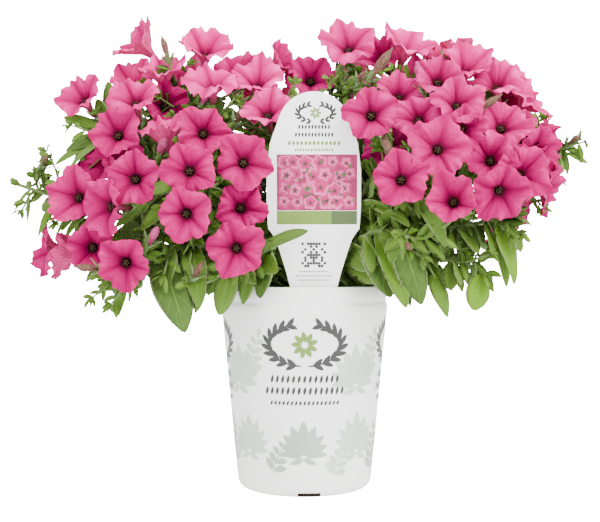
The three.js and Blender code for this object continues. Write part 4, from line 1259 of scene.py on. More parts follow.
@dataclass(frozen=True)
class PlasticFinish(Finish):
    """Smooth moulded or printed plastic, a little uneven in gloss."""

    colour: Colour
    gloss: float = 0.35
    spread: float = 0.03
    glow: float = 0.0

    def dress(self, tree: Tree, surface: bpy.types.Node, palette: Palette) -> None:
        """Varies the tone by spread and the roughness by a tenth."""
        mottle = palette.mottled(tree, tree.place(), 25.0, 900.0, 0.3)
        darker = tuple(c * (1 - self.spread) for c in self.colour)
        colour = tree.blend(tree.step(mottle, 0.3, 0.7), darker, self.colour)
        rough = tree.step(mottle, 0.3, 0.7, self.gloss, self.gloss + 0.1)
        self.set_up(surface, Subsurface_Weight=self.glow, Subsurface_Scale=0.003)
        self.join(tree, surface, Base_Color=colour, Roughness=rough, Normal=tree.bump(mottle, 0.00004))


@dataclass(frozen=True)
class PeatFinish(Finish):
    """Moist peat: near black, with brown fibres."""

    moist: Colour = (0.012, 0.008, 0.005)
    fibre: Colour = (0.060, 0.036, 0.020)

    def dress(self, tree: Tree, surface: bpy.types.Node, palette: Palette) -> None:
        """Mixes the two by the mottle, which is also the relief."""
        mottle = palette.mottled(tree, tree.place(), 240.0, 1100.0, 0.5)
        colour = tree.blend(tree.step(mottle, 0.42, 0.66), self.moist, self.fibre)
        self.set_up(surface, Roughness=0.95, Specular_IOR_Level=0.2)
        self.join(tree, surface, Base_Color=colour, Normal=tree.bump(mottle, 0.0015))


PETAL = PetalFinish("petal")
ANTHER = HairyFinish(
    "anther", low=(0.016, 0.010, 0.004), high=(0.055, 0.038, 0.011), coarse=1500.0, down=0.05
)
LEAF = LeafFinish("leaf")
STEM = HairyFinish("stem", low=(0.065, 0.120, 0.020), high=(0.170, 0.250, 0.070))
FOLDED = HairyFinish("folded_petal", low=(0.30, 0.02, 0.10), high=(0.46, 0.07, 0.20), coarse=400.0, down=0.1)
BUD = HairyFinish("bud", low=(0.085, 0.020, 0.024), high=(0.150, 0.090, 0.045), coarse=500.0, down=0.15)
POT = PlasticFinish("pot_plastic", colour=(0.90, 0.895, 0.88), glow=0.15)
PEAT = PeatFinish("peat")
CARD = PlasticFinish("label_card", colour=(0.97, 0.965, 0.96), gloss=0.3, spread=0.01)
SAGE = PlasticFinish("sage_print", colour=(0.36, 0.42, 0.33), spread=0.15)
PALE_SAGE = PlasticFinish("pale_sage_print", colour=(0.52, 0.575, 0.49), spread=0.12)
CHARCOAL = PlasticFinish("charcoal_print", colour=(0.024, 0.023, 0.023), spread=0.2)
LEAF_GREEN = PlasticFinish("green_print", colour=(0.130, 0.225, 0.022), spread=0.1)
DARK_GREEN = PlasticFinish("dark_green_print", colour=(0.050, 0.095, 0.020), spread=0.1)
PANEL_PINK = PlasticFinish("panel_pink_print", colour=(0.33, 0.001, 0.088), spread=0.5)
BLOOM_PINK = PlasticFinish("bloom_pink_print", colour=(0.48, 0.002, 0.130), spread=0.3)
BLOOM_PALE = PlasticFinish("bloom_pale_print", colour=(0.72, 0.100, 0.300), spread=0.4)
EYE_PRINT = PlasticFinish("eye_print", colour=(0.035, 0.020, 0.008), spread=0.15)


# Pot, soil and label


class PotInk(IntEnum):
    """The inks of the pot's print, by slot."""

    SAGE = 0
    PALE_SAGE = 1
    CHARCOAL = 2
    GREEN = 3


@dataclass
class NurseryPot:
    """The tapered pot with its soft collar, its drain slots and the print on its wall."""

    sides: int = 160
    slots: int = 4
    slot_width: float = 14.0
    slot_height: float = 3.2
    slot_depth: float = 14.0
    slot_turn: float = 0.065
    ink: float = 0.09
    ink_step: float = 0.03
    seed: int = 4
    fans: int = 9
    fan_gap: float = 36.3
    fronts: tuple[float, ...] = (0.0, 82.0, -82.0, 164.0)
    garland_level: float = 95.0
    garland_wide: float = 23.0
    garland_tall: float = 13.0

    def outside(self) -> Array:
        """The outer wall's profile, from the flat base up to the rim."""
        return eased(
            [
                (FLAT_BASE_RADIUS, 0.0),
                (FOOT_RADIUS - 2.6, 1.2),
                (FOOT_RADIUS - 0.6, 4.0),
                (FOOT_RADIUS, 8.0),
                (COLLAR_RADIUS - 0.9, POT_HEIGHT - 20),
                (COLLAR_RADIUS - 0.05, POT_HEIGHT - 15),
                (COLLAR_RADIUS - 0.15, POT_HEIGHT - 11.6),
                (COLLAR_RADIUS - 1.1, POT_HEIGHT - 10.0),
                (COLLAR_RADIUS - 0.75, POT_HEIGHT - 7.5),
                (COLLAR_RADIUS - 1.0, POT_HEIGHT - 4.5),
                (RIM_RADIUS + 0.4, POT_HEIGHT - 1.5),
                (RIM_RADIUS - 0.1, POT_HEIGHT - 0.3),
                (RIM_RADIUS - 0.7, POT_HEIGHT),
            ]
        )

    def shell(self) -> Skin:
        """The pot's closed skin: the outer wall, the rim, the inner wall and the floor."""
        inside = eased(
            [
                (RIM_RADIUS - 0.8, POT_HEIGHT - 0.05),
                (RIM_RADIUS - POT_WALL, POT_HEIGHT - 0.8),
                (COLLAR_RADIUS - POT_WALL, POT_HEIGHT - 15),
                (FOOT_RADIUS - POT_WALL, 8.0),
                (FLAT_BASE_RADIUS, POT_FLOOR),
            ],
            1,
        )
        skin = Skin()
        core = 0.3 * FLAT_BASE_RADIUS
        profile = np.concatenate([[(core, 0.0)], self.outside(), inside, [(core, POT_FLOOR)]])
        skin.add(turned_rings(profile, self.sides))
        return skin

    def cutters(self, finishes: list[bpy.types.Material]) -> bpy.types.Object:
        """Four blocks that stand where the drain slots are, in the second finish."""
        skin = Skin()
        half, low, high = 0.5 * self.slot_width, -1.0, self.slot_height
        for i in range(self.slots):
            turn = 2 * math.pi * i / self.slots + self.slot_turn
            out = np.array([math.sin(turn), -math.cos(turn), 0])
            level = np.array([math.cos(turn), math.sin(turn), 0])
            rings = [
                [out * (FLAT_BASE_RADIUS + 1 + away) + level * x + (0, 0, z)
                 for x, z in ((-half, low), (half, low), (half, high), (-half, high))]
                for away in (0.0, self.slot_depth)
            ]
            skin.add(np.array(rings), slot=1)
        return skin.piece("slot_cutters", finishes, "pot", [])

    def wall(self, x: Array, z: Array, out: float) -> Array:
        """Points of a flat drawing laid on the wall: x runs round it from the front, and z is height."""
        profile = self.outside()
        rising = profile[: np.argmax(profile[:, 0]) + 1]
        radius = np.interp(z, rising[:, 1], rising[:, 0])
        angle = x / radius
        return np.stack([(radius + out) * np.sin(angle), -(radius + out) * np.cos(angle), z], -1)

    def stroke(self, skin: Skin, start: tuple, end: tuple, width: float, slot: int, bow: float = 0.0) -> None:
        """Prints a leaf-shaped stroke: its half width is the sine of the way along it.

        Args:
            skin: the print so far.
            start: one end, as x round the wall and height.
            end: the other end.
            width: the greatest width.
            slot: which ink.
            bow: how far its middle lies to the left.
        """
        start, end = np.array(start, float), np.array(end, float)
        way = end - start
        t = np.linspace(0.04, 0.96, max(8, round(np.linalg.norm(way) / 2)))[:, None]
        left = left_of(way) / np.linalg.norm(way)
        middle = start + t * way + bow * np.sin(math.pi * t) * left
        half = 0.5 * width * np.sin(math.pi * t) ** 0.8
        over = self.ink + self.ink_step * slot
        edges = ((1, over), (0, over), (-1, over), (0, -self.ink))
        sides = [self.wall(*(middle + hand * half * left).T, out) for hand, out in edges]
        ends = [self.wall(*np.array([p]).T, 0.0)[0] for p in (start, end)]
        skin.add(np.stack(sides, 1), *ends, slot=slot)

    def sprig(self, skin: Skin, foot: tuple, lean: float, size: float, pairs: int, slot: int) -> None:
        """Prints a sprig: a bowed stem with pairs of broad leaflets that shrink towards its tip."""
        foot = np.array(foot, float)
        way = flat_ray(lean)[::-1]
        left = left_of(way)
        tip = foot + size * way
        self.stroke(skin, foot, tip, 1.0, slot, 0.06 * size)
        for i in range(pairs):
            share = (i + 0.6) / pairs
            root = foot + share * 0.9 * size * way + 0.06 * size * math.sin(math.pi * share) * left
            reach = size * (0.42 - 0.2 * share)
            for hand in (-1, 1):
                end = root + reach * (0.6 * way + hand * 0.85 * left)
                self.stroke(skin, root + 0.6 * (end - root) / reach, end, 0.5 * reach, slot, hand * -0.6)
        self.stroke(skin, tip - 0.5 * way, tip + 0.24 * size * way, 0.13 * size, slot)

    def palmette(self, skin: Skin, foot: tuple, size: float, slot: int) -> None:
        """Prints a fan of broad leaves round a foot, the middle one the longest."""
        foot = np.array(foot, float)
        for k in range(-4, 5):
            way = flat_ray(0.36 * k)[::-1]
            reach = size * (1 - 0.09 * abs(k))
            self.stroke(skin, foot + 0.08 * size * way, foot + reach * way, 0.3 * reach, slot, 0.4 * k)
        for k in (-2, -1, 1, 2):
            way = np.array([math.sin(0.8 * k), -0.45])
            self.stroke(skin, foot, foot + 0.36 * size * way, 0.12 * size, slot)

    def garland(self, skin: Skin, front: float) -> None:
        """Prints an open garland of paired leaves round a rosette, with rows of lozenges under it."""
        middle = np.array([front, self.garland_level])
        for at, way in wreath(middle, self.garland_wide, self.garland_tall, np.linspace(0.22, 2.62, 10)):
            self.stroke(skin, at - 3.4 * way, at + 3.4 * way, 1.1, PotInk.CHARCOAL)
            for side in (-1, 1):
                tip = at + 6.4 * way + 3.6 * side * left_of(way)
                self.stroke(skin, at, tip, 2.9, PotInk.CHARCOAL, -0.5 * side)
        for angle in ring_of(9) + 0.3:
            ray = flat_ray(angle)
            self.stroke(skin, middle + 1.6 * ray, middle + 8.4 * ray, 3.2, PotInk.GREEN)
        rows = ((74.0, 20.4, 3.4, 5.2), (66.8, 23.8, 3.4, 5.2), (59.3, 20.8, 2.6, 3.0))
        for height, half, gap, tall in rows:
            for x in np.arange(-half, half + 0.1, gap):
                foot, head = (front + x - 0.5, height - tall / 2), (front + x + 0.5, height + tall / 2)
                self.stroke(skin, foot, head, 0.55 * gap, PotInk.CHARCOAL)

    def print_skin(self) -> Skin:
        """The pale sprigs and palmettes all round the wall, and four charcoal garlands."""
        skin = Skin()
        rng = np.random.default_rng(self.seed)
        for fan in range(self.fans):
            x = -146 + self.fan_gap * fan + rng.uniform(-3, 3)
            self.palmette(skin, (x, 24 + rng.uniform(-5, 7)), rng.uniform(21, 26), fan % 2)
            lean = rng.uniform(-0.5, 0.5)
            self.sprig(skin, (x + 18, 12 + rng.uniform(-3, 4)), lean, rng.uniform(22, 28), 4, 1 - fan % 2)
        for front in self.fronts:
            self.garland(skin, front)
            self.palmette(skin, (front + 34, 68), 27, PotInk.PALE_SAGE)
            self.sprig(skin, (front - 37, 74), 0.25, 26, 4, PotInk.PALE_SAGE)
        return skin

    def build(self, palette: Palette) -> None:
        """Makes the shell, cuts the drain slots out of it, and lays the print on it."""
        finishes = [palette.material(POT), palette.material(PEAT)]
        shell = self.shell().piece("nursery_pot", finishes, "pot", ["pot"])
        cutters = self.cutters(finishes)
        cut = shell.modifiers.new("drain_slots", "BOOLEAN")
        cut.operation = "DIFFERENCE"
        cut.solver = "EXACT"
        cut.object = cutters
        evaluated = shell.evaluated_get(bpy.context.evaluated_depsgraph_get())
        mesh = bpy.data.meshes.new_from_object(evaluated)
        shell.modifiers.clear()
        shell.data = mesh
        bpy.data.objects.remove(cutters)
        inks = [palette.material(ink) for ink in (SAGE, PALE_SAGE, CHARCOAL, LEAF_GREEN)]
        self.print_skin().piece("pot_print", inks, "pot", [], smooth=False)


@dataclass
class PottingSoil:
    """The root ball: it fills the pot up to a crumbly, slightly domed top."""

    sides: int = 96
    rows: int = 34
    top_radius: float = 49.2
    crumbs: int = 260
    crumb_sizes: tuple[float, float] = (0.5, 1.5)
    seed: int = 9

    def lumps(self, x: Array, y: Array) -> Array:
        """Height of the lumps: the solid's slow wave, with finer waves on it."""
        slow = 1.1 * np.sin(0.31 * x + 1) * np.cos(0.27 * y)
        fine = 0.5 * np.sin(1.1 * x + 0.7 * y) * np.sin(0.9 * y - 0.5 * x)
        return slow + fine + 0.25 * np.sin(2.3 * x + 1.9 * y + 2 * np.sin(1.3 * y))

    def build(self, palette: Palette) -> None:
        """Makes the ball and the crumbs that lie on it."""
        r = np.linspace(self.top_radius, 1.2, self.rows)
        dome = SOIL_LEVEL - 2.0 * (r / self.top_radius) ** 8 + 1.2 * (1 - r / self.top_radius)
        side = [(36.0, POT_FLOOR + 0.4), (41.5, 9.0), (self.top_radius + 1.3, POT_HEIGHT - 16)]
        rings = turned_rings(np.concatenate([side, np.column_stack([r, dome])]), self.sides)
        top = rings[len(side):]
        top[..., 2] += self.lumps(top[..., 0], top[..., 1]) * smooth_step(0, 6, self.top_radius - r)[:, None]
        skin = Skin()
        skin.add(rings)
        rng = np.random.default_rng(self.seed)
        for _ in range(self.crumbs):
            away, turn = 47 * math.sqrt(rng.random()), rng.uniform(0, 2 * math.pi)
            size = rng.uniform(*self.crumb_sizes)
            x, y = away * math.cos(turn), away * math.sin(turn)
            ball = turned_rings([(0.7 * size, -0.7 * size), (size, 0.0), (0.6 * size, 0.75 * size)], 6)
            ball *= rng.uniform(0.7, 1.3, 3)
            skin.add(ball + (x, y, SOIL_LEVEL + 0.8 + self.lumps(np.array(x), np.array(y))))
        skin.piece("potting_soil", [palette.material(PEAT)], "soil", ["soil"])


class LabelInk(IntEnum):
    """The inks of the label's print, by slot."""

    PANEL = 0
    BLOOM = 1
    PALE = 2
    GREEN = 3
    DARK_GREEN = 4
    EYE = 5
    CHARCOAL = 6


@dataclass
class LabelStake:
    """The label: a narrow foot in the soil, sloping shoulders and a round head, printed in front."""

    panel_left: float = -22.5
    panel_right: float = 26.4
    panel_low: float = 177.0
    panel_high: float = 211.0
    band_low: float = 168.5
    ink: float = 0.06
    sprinkled: int = 26
    top_layer: int = 14
    seed: int = 3

    def stand(self, x: Array, height: Array, out: Array) -> Array:
        """Points of the label: x across it, height up it, and out from its middle plane to the front."""
        lean, rise = LABEL_LEAN, height - SOIL_LEVEL
        y = -out * math.cos(lean) - rise * math.sin(lean)
        z = -out * math.sin(lean) + rise * math.cos(lean)
        return np.stack(np.broadcast_arrays(x + LABEL_X, y + LABEL_Y, z + SOIL_LEVEL), -1)

    def outline(self) -> Array:
        """The label's edge as (x, height) points, up its right side and down its left."""
        right = [
            (3, LABEL_FOOT), (9.5, LABEL_FOOT + 10), (13.4, 122), (14.8, LABEL_SHOULDER_LEVEL), (22.6, 158),
            (25.2, 162.5), (LABEL_HALF_WIDTH, 167), (LABEL_HALF_WIDTH, 212),
        ]
        turn = np.linspace(0.3, math.pi / 2, 16)
        centre = LABEL_TOP - LABEL_HEAD_RADIUS
        arc = np.column_stack([LABEL_HEAD_RADIUS * np.cos(turn), centre + LABEL_HEAD_RADIUS * np.sin(turn)])
        half = eased(np.concatenate([right, arc]), 1)[:-1]
        return np.concatenate([half, [(0, LABEL_TOP)], half[::-1] * (-1, 1)])

    def plate(self, skin: Skin, outline: Array, back: float, front: float, slot: int = 0) -> None:
        """Adds a flat plate of that outline, from back to front out of the label's middle plane."""
        x, height = np.asarray(outline, float).T
        rings = np.stack([self.stand(x, height, np.full(len(x), out)) for out in (back, front)])
        skin.add(rings, slot=slot)

    def mark(self, skin: Skin, outline: Array, slot: int, layer: int = 1) -> None:
        """Prints a flat shape on the front, in a layer of ink."""
        front = 0.5 * LABEL_THICKNESS
        self.plate(skin, outline, front - 0.2, front + layer * self.ink, slot)

    @staticmethod
    def box(left: float, right: float, low: float, high: float) -> Array:
        """The corners of an upright rectangle."""
        return np.array([(left, low), (right, low), (right, high), (left, high)])

    @staticmethod
    def rosette(x: float, height: float, radius: float, turn: float, depth: float, lobes: int = 5) -> Array:
        """A simple lobed outline: the radius less a part of it by the cosine of the lobes' angle."""
        angle = ring_of(30)
        r = radius * (1 - depth + depth * np.cos(lobes * (angle - turn)))
        return np.column_stack([x + r * np.cos(angle), height + r * np.sin(angle)])

    def print_skin(self) -> Skin:
        """The picture of simple blossoms, the two-tone band, the emblem and the mosaic."""
        skin = Skin()
        left, right, low, high = self.panel_left, self.panel_right, self.panel_low, self.panel_high
        self.mark(skin, self.box(left, right, low, high), LabelInk.PANEL)
        split = mix(left, right, 0.68)
        self.mark(skin, self.box(left, split, self.band_low, low - 0.3), LabelInk.GREEN)
        self.mark(skin, self.box(split, right, self.band_low, low - 0.3), LabelInk.DARK_GREEN)
        rng = np.random.default_rng(self.seed)
        for row in range(4):
            for column in range(6):
                size = rng.uniform(4.4, 6.2)
                x = left + 4.6 + 8.1 * column + rng.uniform(-1.6, 1.6) - 3 * (row % 2)
                height = low + 4.6 + 8.3 * row + rng.uniform(-1.4, 1.4)
                x = min(max(x, left + size), right - size)
                height = min(max(height, low + size), high - size)
                turn, layer = rng.uniform(0, 2 * math.pi), 2 + 4 * ((row + column) % 3)
                pale = rng.integers(0, 2)
                rounds = (
                    (0.0, 1.0, 0.10, LabelInk.BLOOM + pale), (0.5, 0.72, 0.14, LabelInk.PALE - pale),
                    (0.0, 0.40, 0.25, LabelInk.PANEL), (0.0, 0.19, 0.2, LabelInk.EYE),
                )
                for over, (shift, share, depth, ink) in enumerate(rounds):
                    outline = self.rosette(x, height + shift, share * size, turn, depth)
                    self.mark(skin, outline, ink, layer + over)
        for _ in range(self.sprinkled):
            x, height = rng.uniform(left + 2, right - 2), rng.uniform(low + 2, high - 2)
            outline = self.rosette(x, height, rng.uniform(0.7, 1.8), rng.uniform(0, 6), 0.3, 3)
            self.mark(skin, outline, LabelInk.DARK_GREEN, self.top_layer)
        self.print_emblem(skin)
        self.print_mosaic(skin, rng)
        return skin

    @staticmethod
    def blade(foot: Array, head: Array, width: float) -> Array:
        """The outline of a small pointed leaf: its half width is the sine of the way along it."""
        way = head - foot
        left = left_of(way) / np.linalg.norm(way)
        t = np.linspace(0.0, 1.0, 6)[:, None]
        middle, half = foot + t * way, 0.5 * width * np.sin(math.pi * t) * left
        return np.concatenate([middle - half, (middle + half)[-2:0:-1]])

    def print_emblem(self, skin: Skin) -> None:
        """Prints a small wreath of leaves round a rosette, with rows of lozenges under it."""
        middle = np.array([1.0, 236.0])
        for at, way in wreath(middle, 10.5, 5.4, np.linspace(0.25, 2.6, 8)):
            for layer, side in ((1, -1), (2, 1)):
                tip = at + 3.2 * way + 1.7 * side * left_of(way)
                self.mark(skin, self.blade(at, tip, 1.5), LabelInk.CHARCOAL, layer)
        for angle in ring_of(7):
            ray = flat_ray(angle)
            self.mark(skin, self.blade(middle + 0.5 * ray, middle + 3.8 * ray, 1.6), LabelInk.GREEN)
        rows = (
            (227.6, 9.0, 2.0, 3.2, LabelInk.CHARCOAL),
            (222.9, 11.0, 2.0, 3.2, LabelInk.CHARCOAL),
            (217.8, 15.0, 2.5, 3.0, LabelInk.GREEN),
            (213.7, 11.2, 1.6, 2.2, LabelInk.GREEN),
        )
        for height, half, gap, tall, ink in rows:
            for x in np.arange(-half, half + 0.1, gap):
                foot, head = np.array([x, height - tall / 2]), np.array([x + 0.3, height + tall / 2])
                self.mark(skin, self.blade(foot, head, 0.7 * gap), ink)

    def print_mosaic(self, skin: Skin, rng: np.random.Generator) -> None:
        """Prints a symmetrical mosaic of small squares, and three fine rules below it."""
        step, low = 1.7, 142.2
        for row in range(9):
            for column in range(5):
                if rng.random() < 0.55:
                    for hand in (-1, 1) if column else (1,):
                        x, height = hand * step * column, low + step * row
                        self.mark(skin, self.box(x - 0.8, x + 0.8, height, height + 1.6), LabelInk.CHARCOAL)
        for height, half in ((139.2, 9.0), (136.6, 11.0), (134.0, 9.5)):
            for x in np.arange(-half, half, 1.5):
                self.mark(skin, self.box(x, x + 0.9, height, height + 0.8), LabelInk.CHARCOAL)

    def build(self, palette: Palette) -> None:
        """Makes the card and its print."""
        skin = Skin()
        self.plate(skin, self.outline(), -0.5 * LABEL_THICKNESS, 0.5 * LABEL_THICKNESS)
        skin.piece("label_card", [palette.material(CARD)], "label", ["label"], smooth=False)
        inks = (PANEL_PINK, BLOOM_PINK, BLOOM_PALE, LEAF_GREEN, DARK_GREEN, EYE_PRINT, CHARCOAL)
        materials = [palette.material(ink) for ink in inks]
        self.print_skin().piece("label_print", materials, "label", [], smooth=False)


# The plant


@dataclass
class FlowerHead:
    """One open flower: a slim tube that flares into five ruffled lobes with creased ribs."""

    RIM_WAVES = ((9, 0.020), (17, 0.018), (31, 0.010), (41, 0.006))
    TUBE_RADII = (1.45, 1.55, 1.75, 2.1, 2.6, 3.1, 3.6)
    TUBE_HEIGHTS = (-21.9, -19.5, -17.0, -14.5, -12.2, -10.4, -9.0)
    BACK_STEPS = (0.12, 0.22, 0.36, 0.52, 0.68, 0.84, 0.95, 0.995)
    FACE_STEPS = (1, 0.985, 0.94, 0.87, 0.78, 0.68, 0.58, 0.48, 0.39, 0.3, 0.22, 0.14, 0.07, 0)
    THROAT_RADII = (2.7, 2.2, 1.7, 1.2)
    THROAT_HEIGHTS = (-9.2, -10.8, -12.6, -14.5)

    bloom: Bloom
    number: int
    columns: int
    thickness: float = 0.4
    funnel: float = 8.0

    def __post_init__(self) -> None:
        """Draws what sets this flower apart from its neighbours."""
        rng = np.random.default_rng(SEED + self.number)
        self.lobe_reach = rng.uniform(-0.14, 0.04, LOBES)
        self.notch = rng.uniform(0.0, 0.06, LOBES)
        self.curl = rng.uniform(-1.5, 6.0, LOBES)
        self.saddle = rng.uniform(0.4, 2.2)
        self.phases = rng.uniform(0, 2 * math.pi, 12)
        # Tone is about a third random and the rest painted top light: the more a flower faces up, the paler
        # and lighter its finish.
        self.tone = 0.35 * rng.random() + 0.65 * float(smooth_step(0.25, 0.75, self.bloom.axis[2]))
        angle = ring_of(self.columns)
        turn = angle * LOBES / (2 * math.pi)
        self.angle = angle
        self.rib = np.abs(turn - np.round(turn)) * 2
        self.lobe = np.round(turn).astype(int) % LOBES
        self.lift = 5.0 * float(smooth_step(0.3, 0.75, self.bloom.axis[2]))

    def wave(self, count: int, phase: int, size: float) -> Array:
        """That many waves round the flower, by one of its phases."""
        return size * np.sin(count * self.angle + self.phases[phase])

    def rim(self) -> Array:
        """Radius of the rim: a corner on each rib, straighter sides, a notch between, and fine teeth."""
        notch = mix(self.notch.mean(), self.notch[self.lobe], 1 - self.rib)
        share = 1.09 + self.lobe_reach[self.lobe] * (1 - self.rib**2) + self.lobe_reach.mean() * self.rib**2
        share = share - 0.17 * self.rib**0.95 - notch * self.rib**4
        for phase, (count, size) in enumerate(self.RIM_WAVES):
            share = share + self.wave(count, phase, size)
        return self.bloom.radius * share

    def front(self, s: Array) -> tuple[Array, Array]:
        """Radius and height of the upper face.

        The height adds the funnel, the puffs between the sunken ribs, pleats, the bend of the whole
        face, the lobes' own curl at the rim, and ruffles that grow towards it. A flower that looks up
        is a deeper cup.

        Args:
            s: the way from the throat's edge, 0, to the rim, 1, as a column.

        Returns:
            The radii and heights, a row for each s.
        """
        size = self.bloom.radius / 17
        r = THROAT_RADIUS + (self.rim() - THROAT_RADIUS) * s
        deep = -self.funnel * (1 - s) ** 1.6 + self.lift * (s - 0.4 * s**3)
        off_rib = np.abs(np.sin(LOBES / 2 * self.angle))
        puff = (3.5 * off_rib**0.55 - 1.6 - 1.5 * off_rib**6) * np.sin(math.pi * s**0.8) ** 0.8
        curl = -(self.curl[self.lobe] * (1 - self.rib) + self.curl.mean() * self.rib) * s**3
        pleats = self.wave(15, 3, 0.45) + self.wave(23, 4, 0.32)
        ruffle = self.wave(8, 5, 1.3) + self.wave(13, 6, 1.0) + self.wave(19, 9, 0.5)
        slow = self.wave(2, 7, self.saddle) + self.wave(3, 8, 0.9)
        bends = puff + curl + pleats * s**1.2 + ruffle * s**3 + slow * s**2
        return r, self.bloom.dish(r, self.angle) + deep + size * bends

    def rings(self) -> tuple[Array, dict[str, Array]]:
        """The whole skin from the tube's foot over the rim and down into the throat."""
        ones = np.ones((1, self.columns))
        flute = 1 + 0.06 * np.cos(LOBES * self.angle)
        tube_r, tube_h = as_column(self.TUBE_RADII) * flute, as_column(self.TUBE_HEIGHTS) * ones
        back_s, face_s = as_column(self.BACK_STEPS), as_column(self.FACE_STEPS)
        back_r, back_h = self.front(back_s)
        back_h = back_h - self.thickness * (1 - 0.6 * back_s**4)
        face_r, face_h = self.front(face_s)
        deep_r, deep_h = as_column(self.THROAT_RADII) * ones, as_column(self.THROAT_HEIGHTS) * ones
        r = np.concatenate([tube_r, back_r, face_r, deep_r])
        height = np.concatenate([tube_h, back_h, face_h, deep_h])
        depth = (tube_h + 7) / (TUBE_LENGTH - 7)
        reach = np.concatenate([depth, back_s * ones, face_s * ones, 0.03 * deep_h])
        face = np.concatenate([0 * tube_h, 0 * back_h, face_h * 0 + 1, deep_h * 0 + 1])
        swirl = reach[..., None] * (0, 0, 0.25)
        ray = np.stack([np.cos(self.angle), np.sin(self.angle), 0 * self.angle + self.number], -1) + swirl
        points = self.bloom.place(r, self.angle, height)
        values = {"reach": reach, "rib": self.rib * np.ones_like(reach), "face": face, "ray": ray}
        return points, values

    def add_to(self, skin: Skin) -> None:
        """Adds the petals with the tube, five anthers and the stigma."""
        points, values = self.rings()
        poles = self.bloom.place(0.0, 0.0, np.array([-22.0, -15.5]))
        skin.add(points, poles[0], poles[1], tone=self.tone, **values)
        seats = [(0.0, 0.0, -6.6, 0.75)]
        for k, angle in enumerate(ring_of(LOBES) + self.phases[0]):
            seats.append((1.4, angle, -7.2 - 0.4 * (k % 3), 0.72))
        turn, rise = as_column(ring_of(6)), as_column((-0.6, 0.1, 0.65))
        around = np.cos(turn) * self.bloom.right + np.sin(turn) * self.bloom.up
        for r, angle, height, size in seats:
            girth = size * np.sqrt(1 - rise**2)
            centre = self.bloom.place(r, angle, height)
            ball = centre + girth[..., None] * around + (size * rise)[..., None] * self.bloom.axis
            tips = centre + np.array([[-size], [size]]) * self.bloom.axis
            blank = {"reach": 0.0, "rib": 0.0, "face": 1.0, "ray": np.zeros(ball.shape)}
            skin.add(ball, tips[0], tips[1], slot=1, tone=self.tone, **blank)


@dataclass
class Bud:
    """A closed bud or a folded corolla: a twisted spindle on a flower's own axis."""

    bloom: Bloom
    length: float
    girth: float
    blunt: float = 0.0

    def add_to(self, skin: Skin, slot: int) -> None:
        """Adds the spindle: its radius swells and tapers along it, and five folds wind round it."""
        t = np.linspace(0.0, 0.97, 12)[:, None]
        angle = ring_of(20)
        swell = 0.45 + 0.55 * np.sin(math.pi * np.minimum(1, t / 1.25)) ** 1.2
        taper = mix(1.0, 0.12, smooth_step(0.62, 1.02, t)) + self.blunt * smooth_step(0.5, 0.95, t)
        folds = 1 + mix(0.03, 0.16, t) * np.cos(LOBES * (angle + 2.2 * t))
        height = -TUBE_LENGTH + self.length * t
        points = self.bloom.place(self.girth * swell * taper * folds, angle, height)
        ends = self.bloom.place(0.0, 0.0, -TUBE_LENGTH + self.length * np.array([0.0, 1.0]))
        skin.add(points, ends[0], ends[1], slot=slot)


def add_stalk(skin: Skin, bloom: Bloom, curve: Curve, rng: np.random.Generator) -> None:
    """Adds a stalk that widens into the calyx, a small cup with five spoon-shaped sepals.

    Args:
        skin: the stem so far.
        bloom: the flower that it carries.
        curve: the stalk's course.
        rng: the draw for the sepals.
    """
    top = -TUBE_LENGTH - CALYX_GAP
    cup = bloom.place(0.0, 0.0, top - CALYX_LENGTH * np.array([0.75, 0.4, 0.1, -0.1]))
    path = np.concatenate([curve.point(np.linspace(0, 1, 12)), cup])
    radii = np.concatenate([np.linspace(1.05, 0.9, 12), [1.3, 1.9, CALYX_RADIUS, 2.0]])
    skin.add(tube_rings(path, radii, 8))
    for k in range(LOBES):
        angle = (k + 0.5) * 2 * math.pi / LOBES
        reach, rise = rng.uniform(0.85, 1.1, 2) * (SEPAL_REACH - 1.9, SEPAL_RISE + 1.5)
        add_sepal(skin, bloom, angle, 1.9, top - 0.8, reach, rise)


def add_sepal(
    skin: Skin, bloom: Bloom, angle: float, r: float, height: float, reach: float, rise: float
) -> None:
    """Adds a spoon-shaped sepal: its half width is the sine of the way along it.

    Args:
        skin: the stem so far.
        bloom: the flower or bud that it stands round.
        angle: its place round the axis.
        r: the radius of its root.
        height: the height of its root.
        reach: how far out its tip is from the root.
        rise: how far up its tip is from the root.
    """
    t = np.linspace(0.08, 0.94, 5)[:, None]
    v = np.array([-1.0, 0.0, 1.0, 0.0])
    lift = np.array([0.15, 0.25, 0.15, -0.25])
    half = 1.35 * np.sin(math.pi * (0.12 + 0.84 * t)) ** 0.8
    radius = r + reach * t**1.4 + lift
    points = bloom.place(radius, angle + v * half / radius, height + rise * t - 0.3 * lift)
    ends = bloom.place(r + reach * np.array([0.0, 1.0]), angle, height + rise * np.array([0.0, 1.0]))
    skin.add(points, *ends)


class Blade(Enum):
    """How finely a leaf is made: points along it, and points across its upper face."""

    BROAD = (13, 7)
    INNER = (8, 5)
    SMALL = (6, 3)


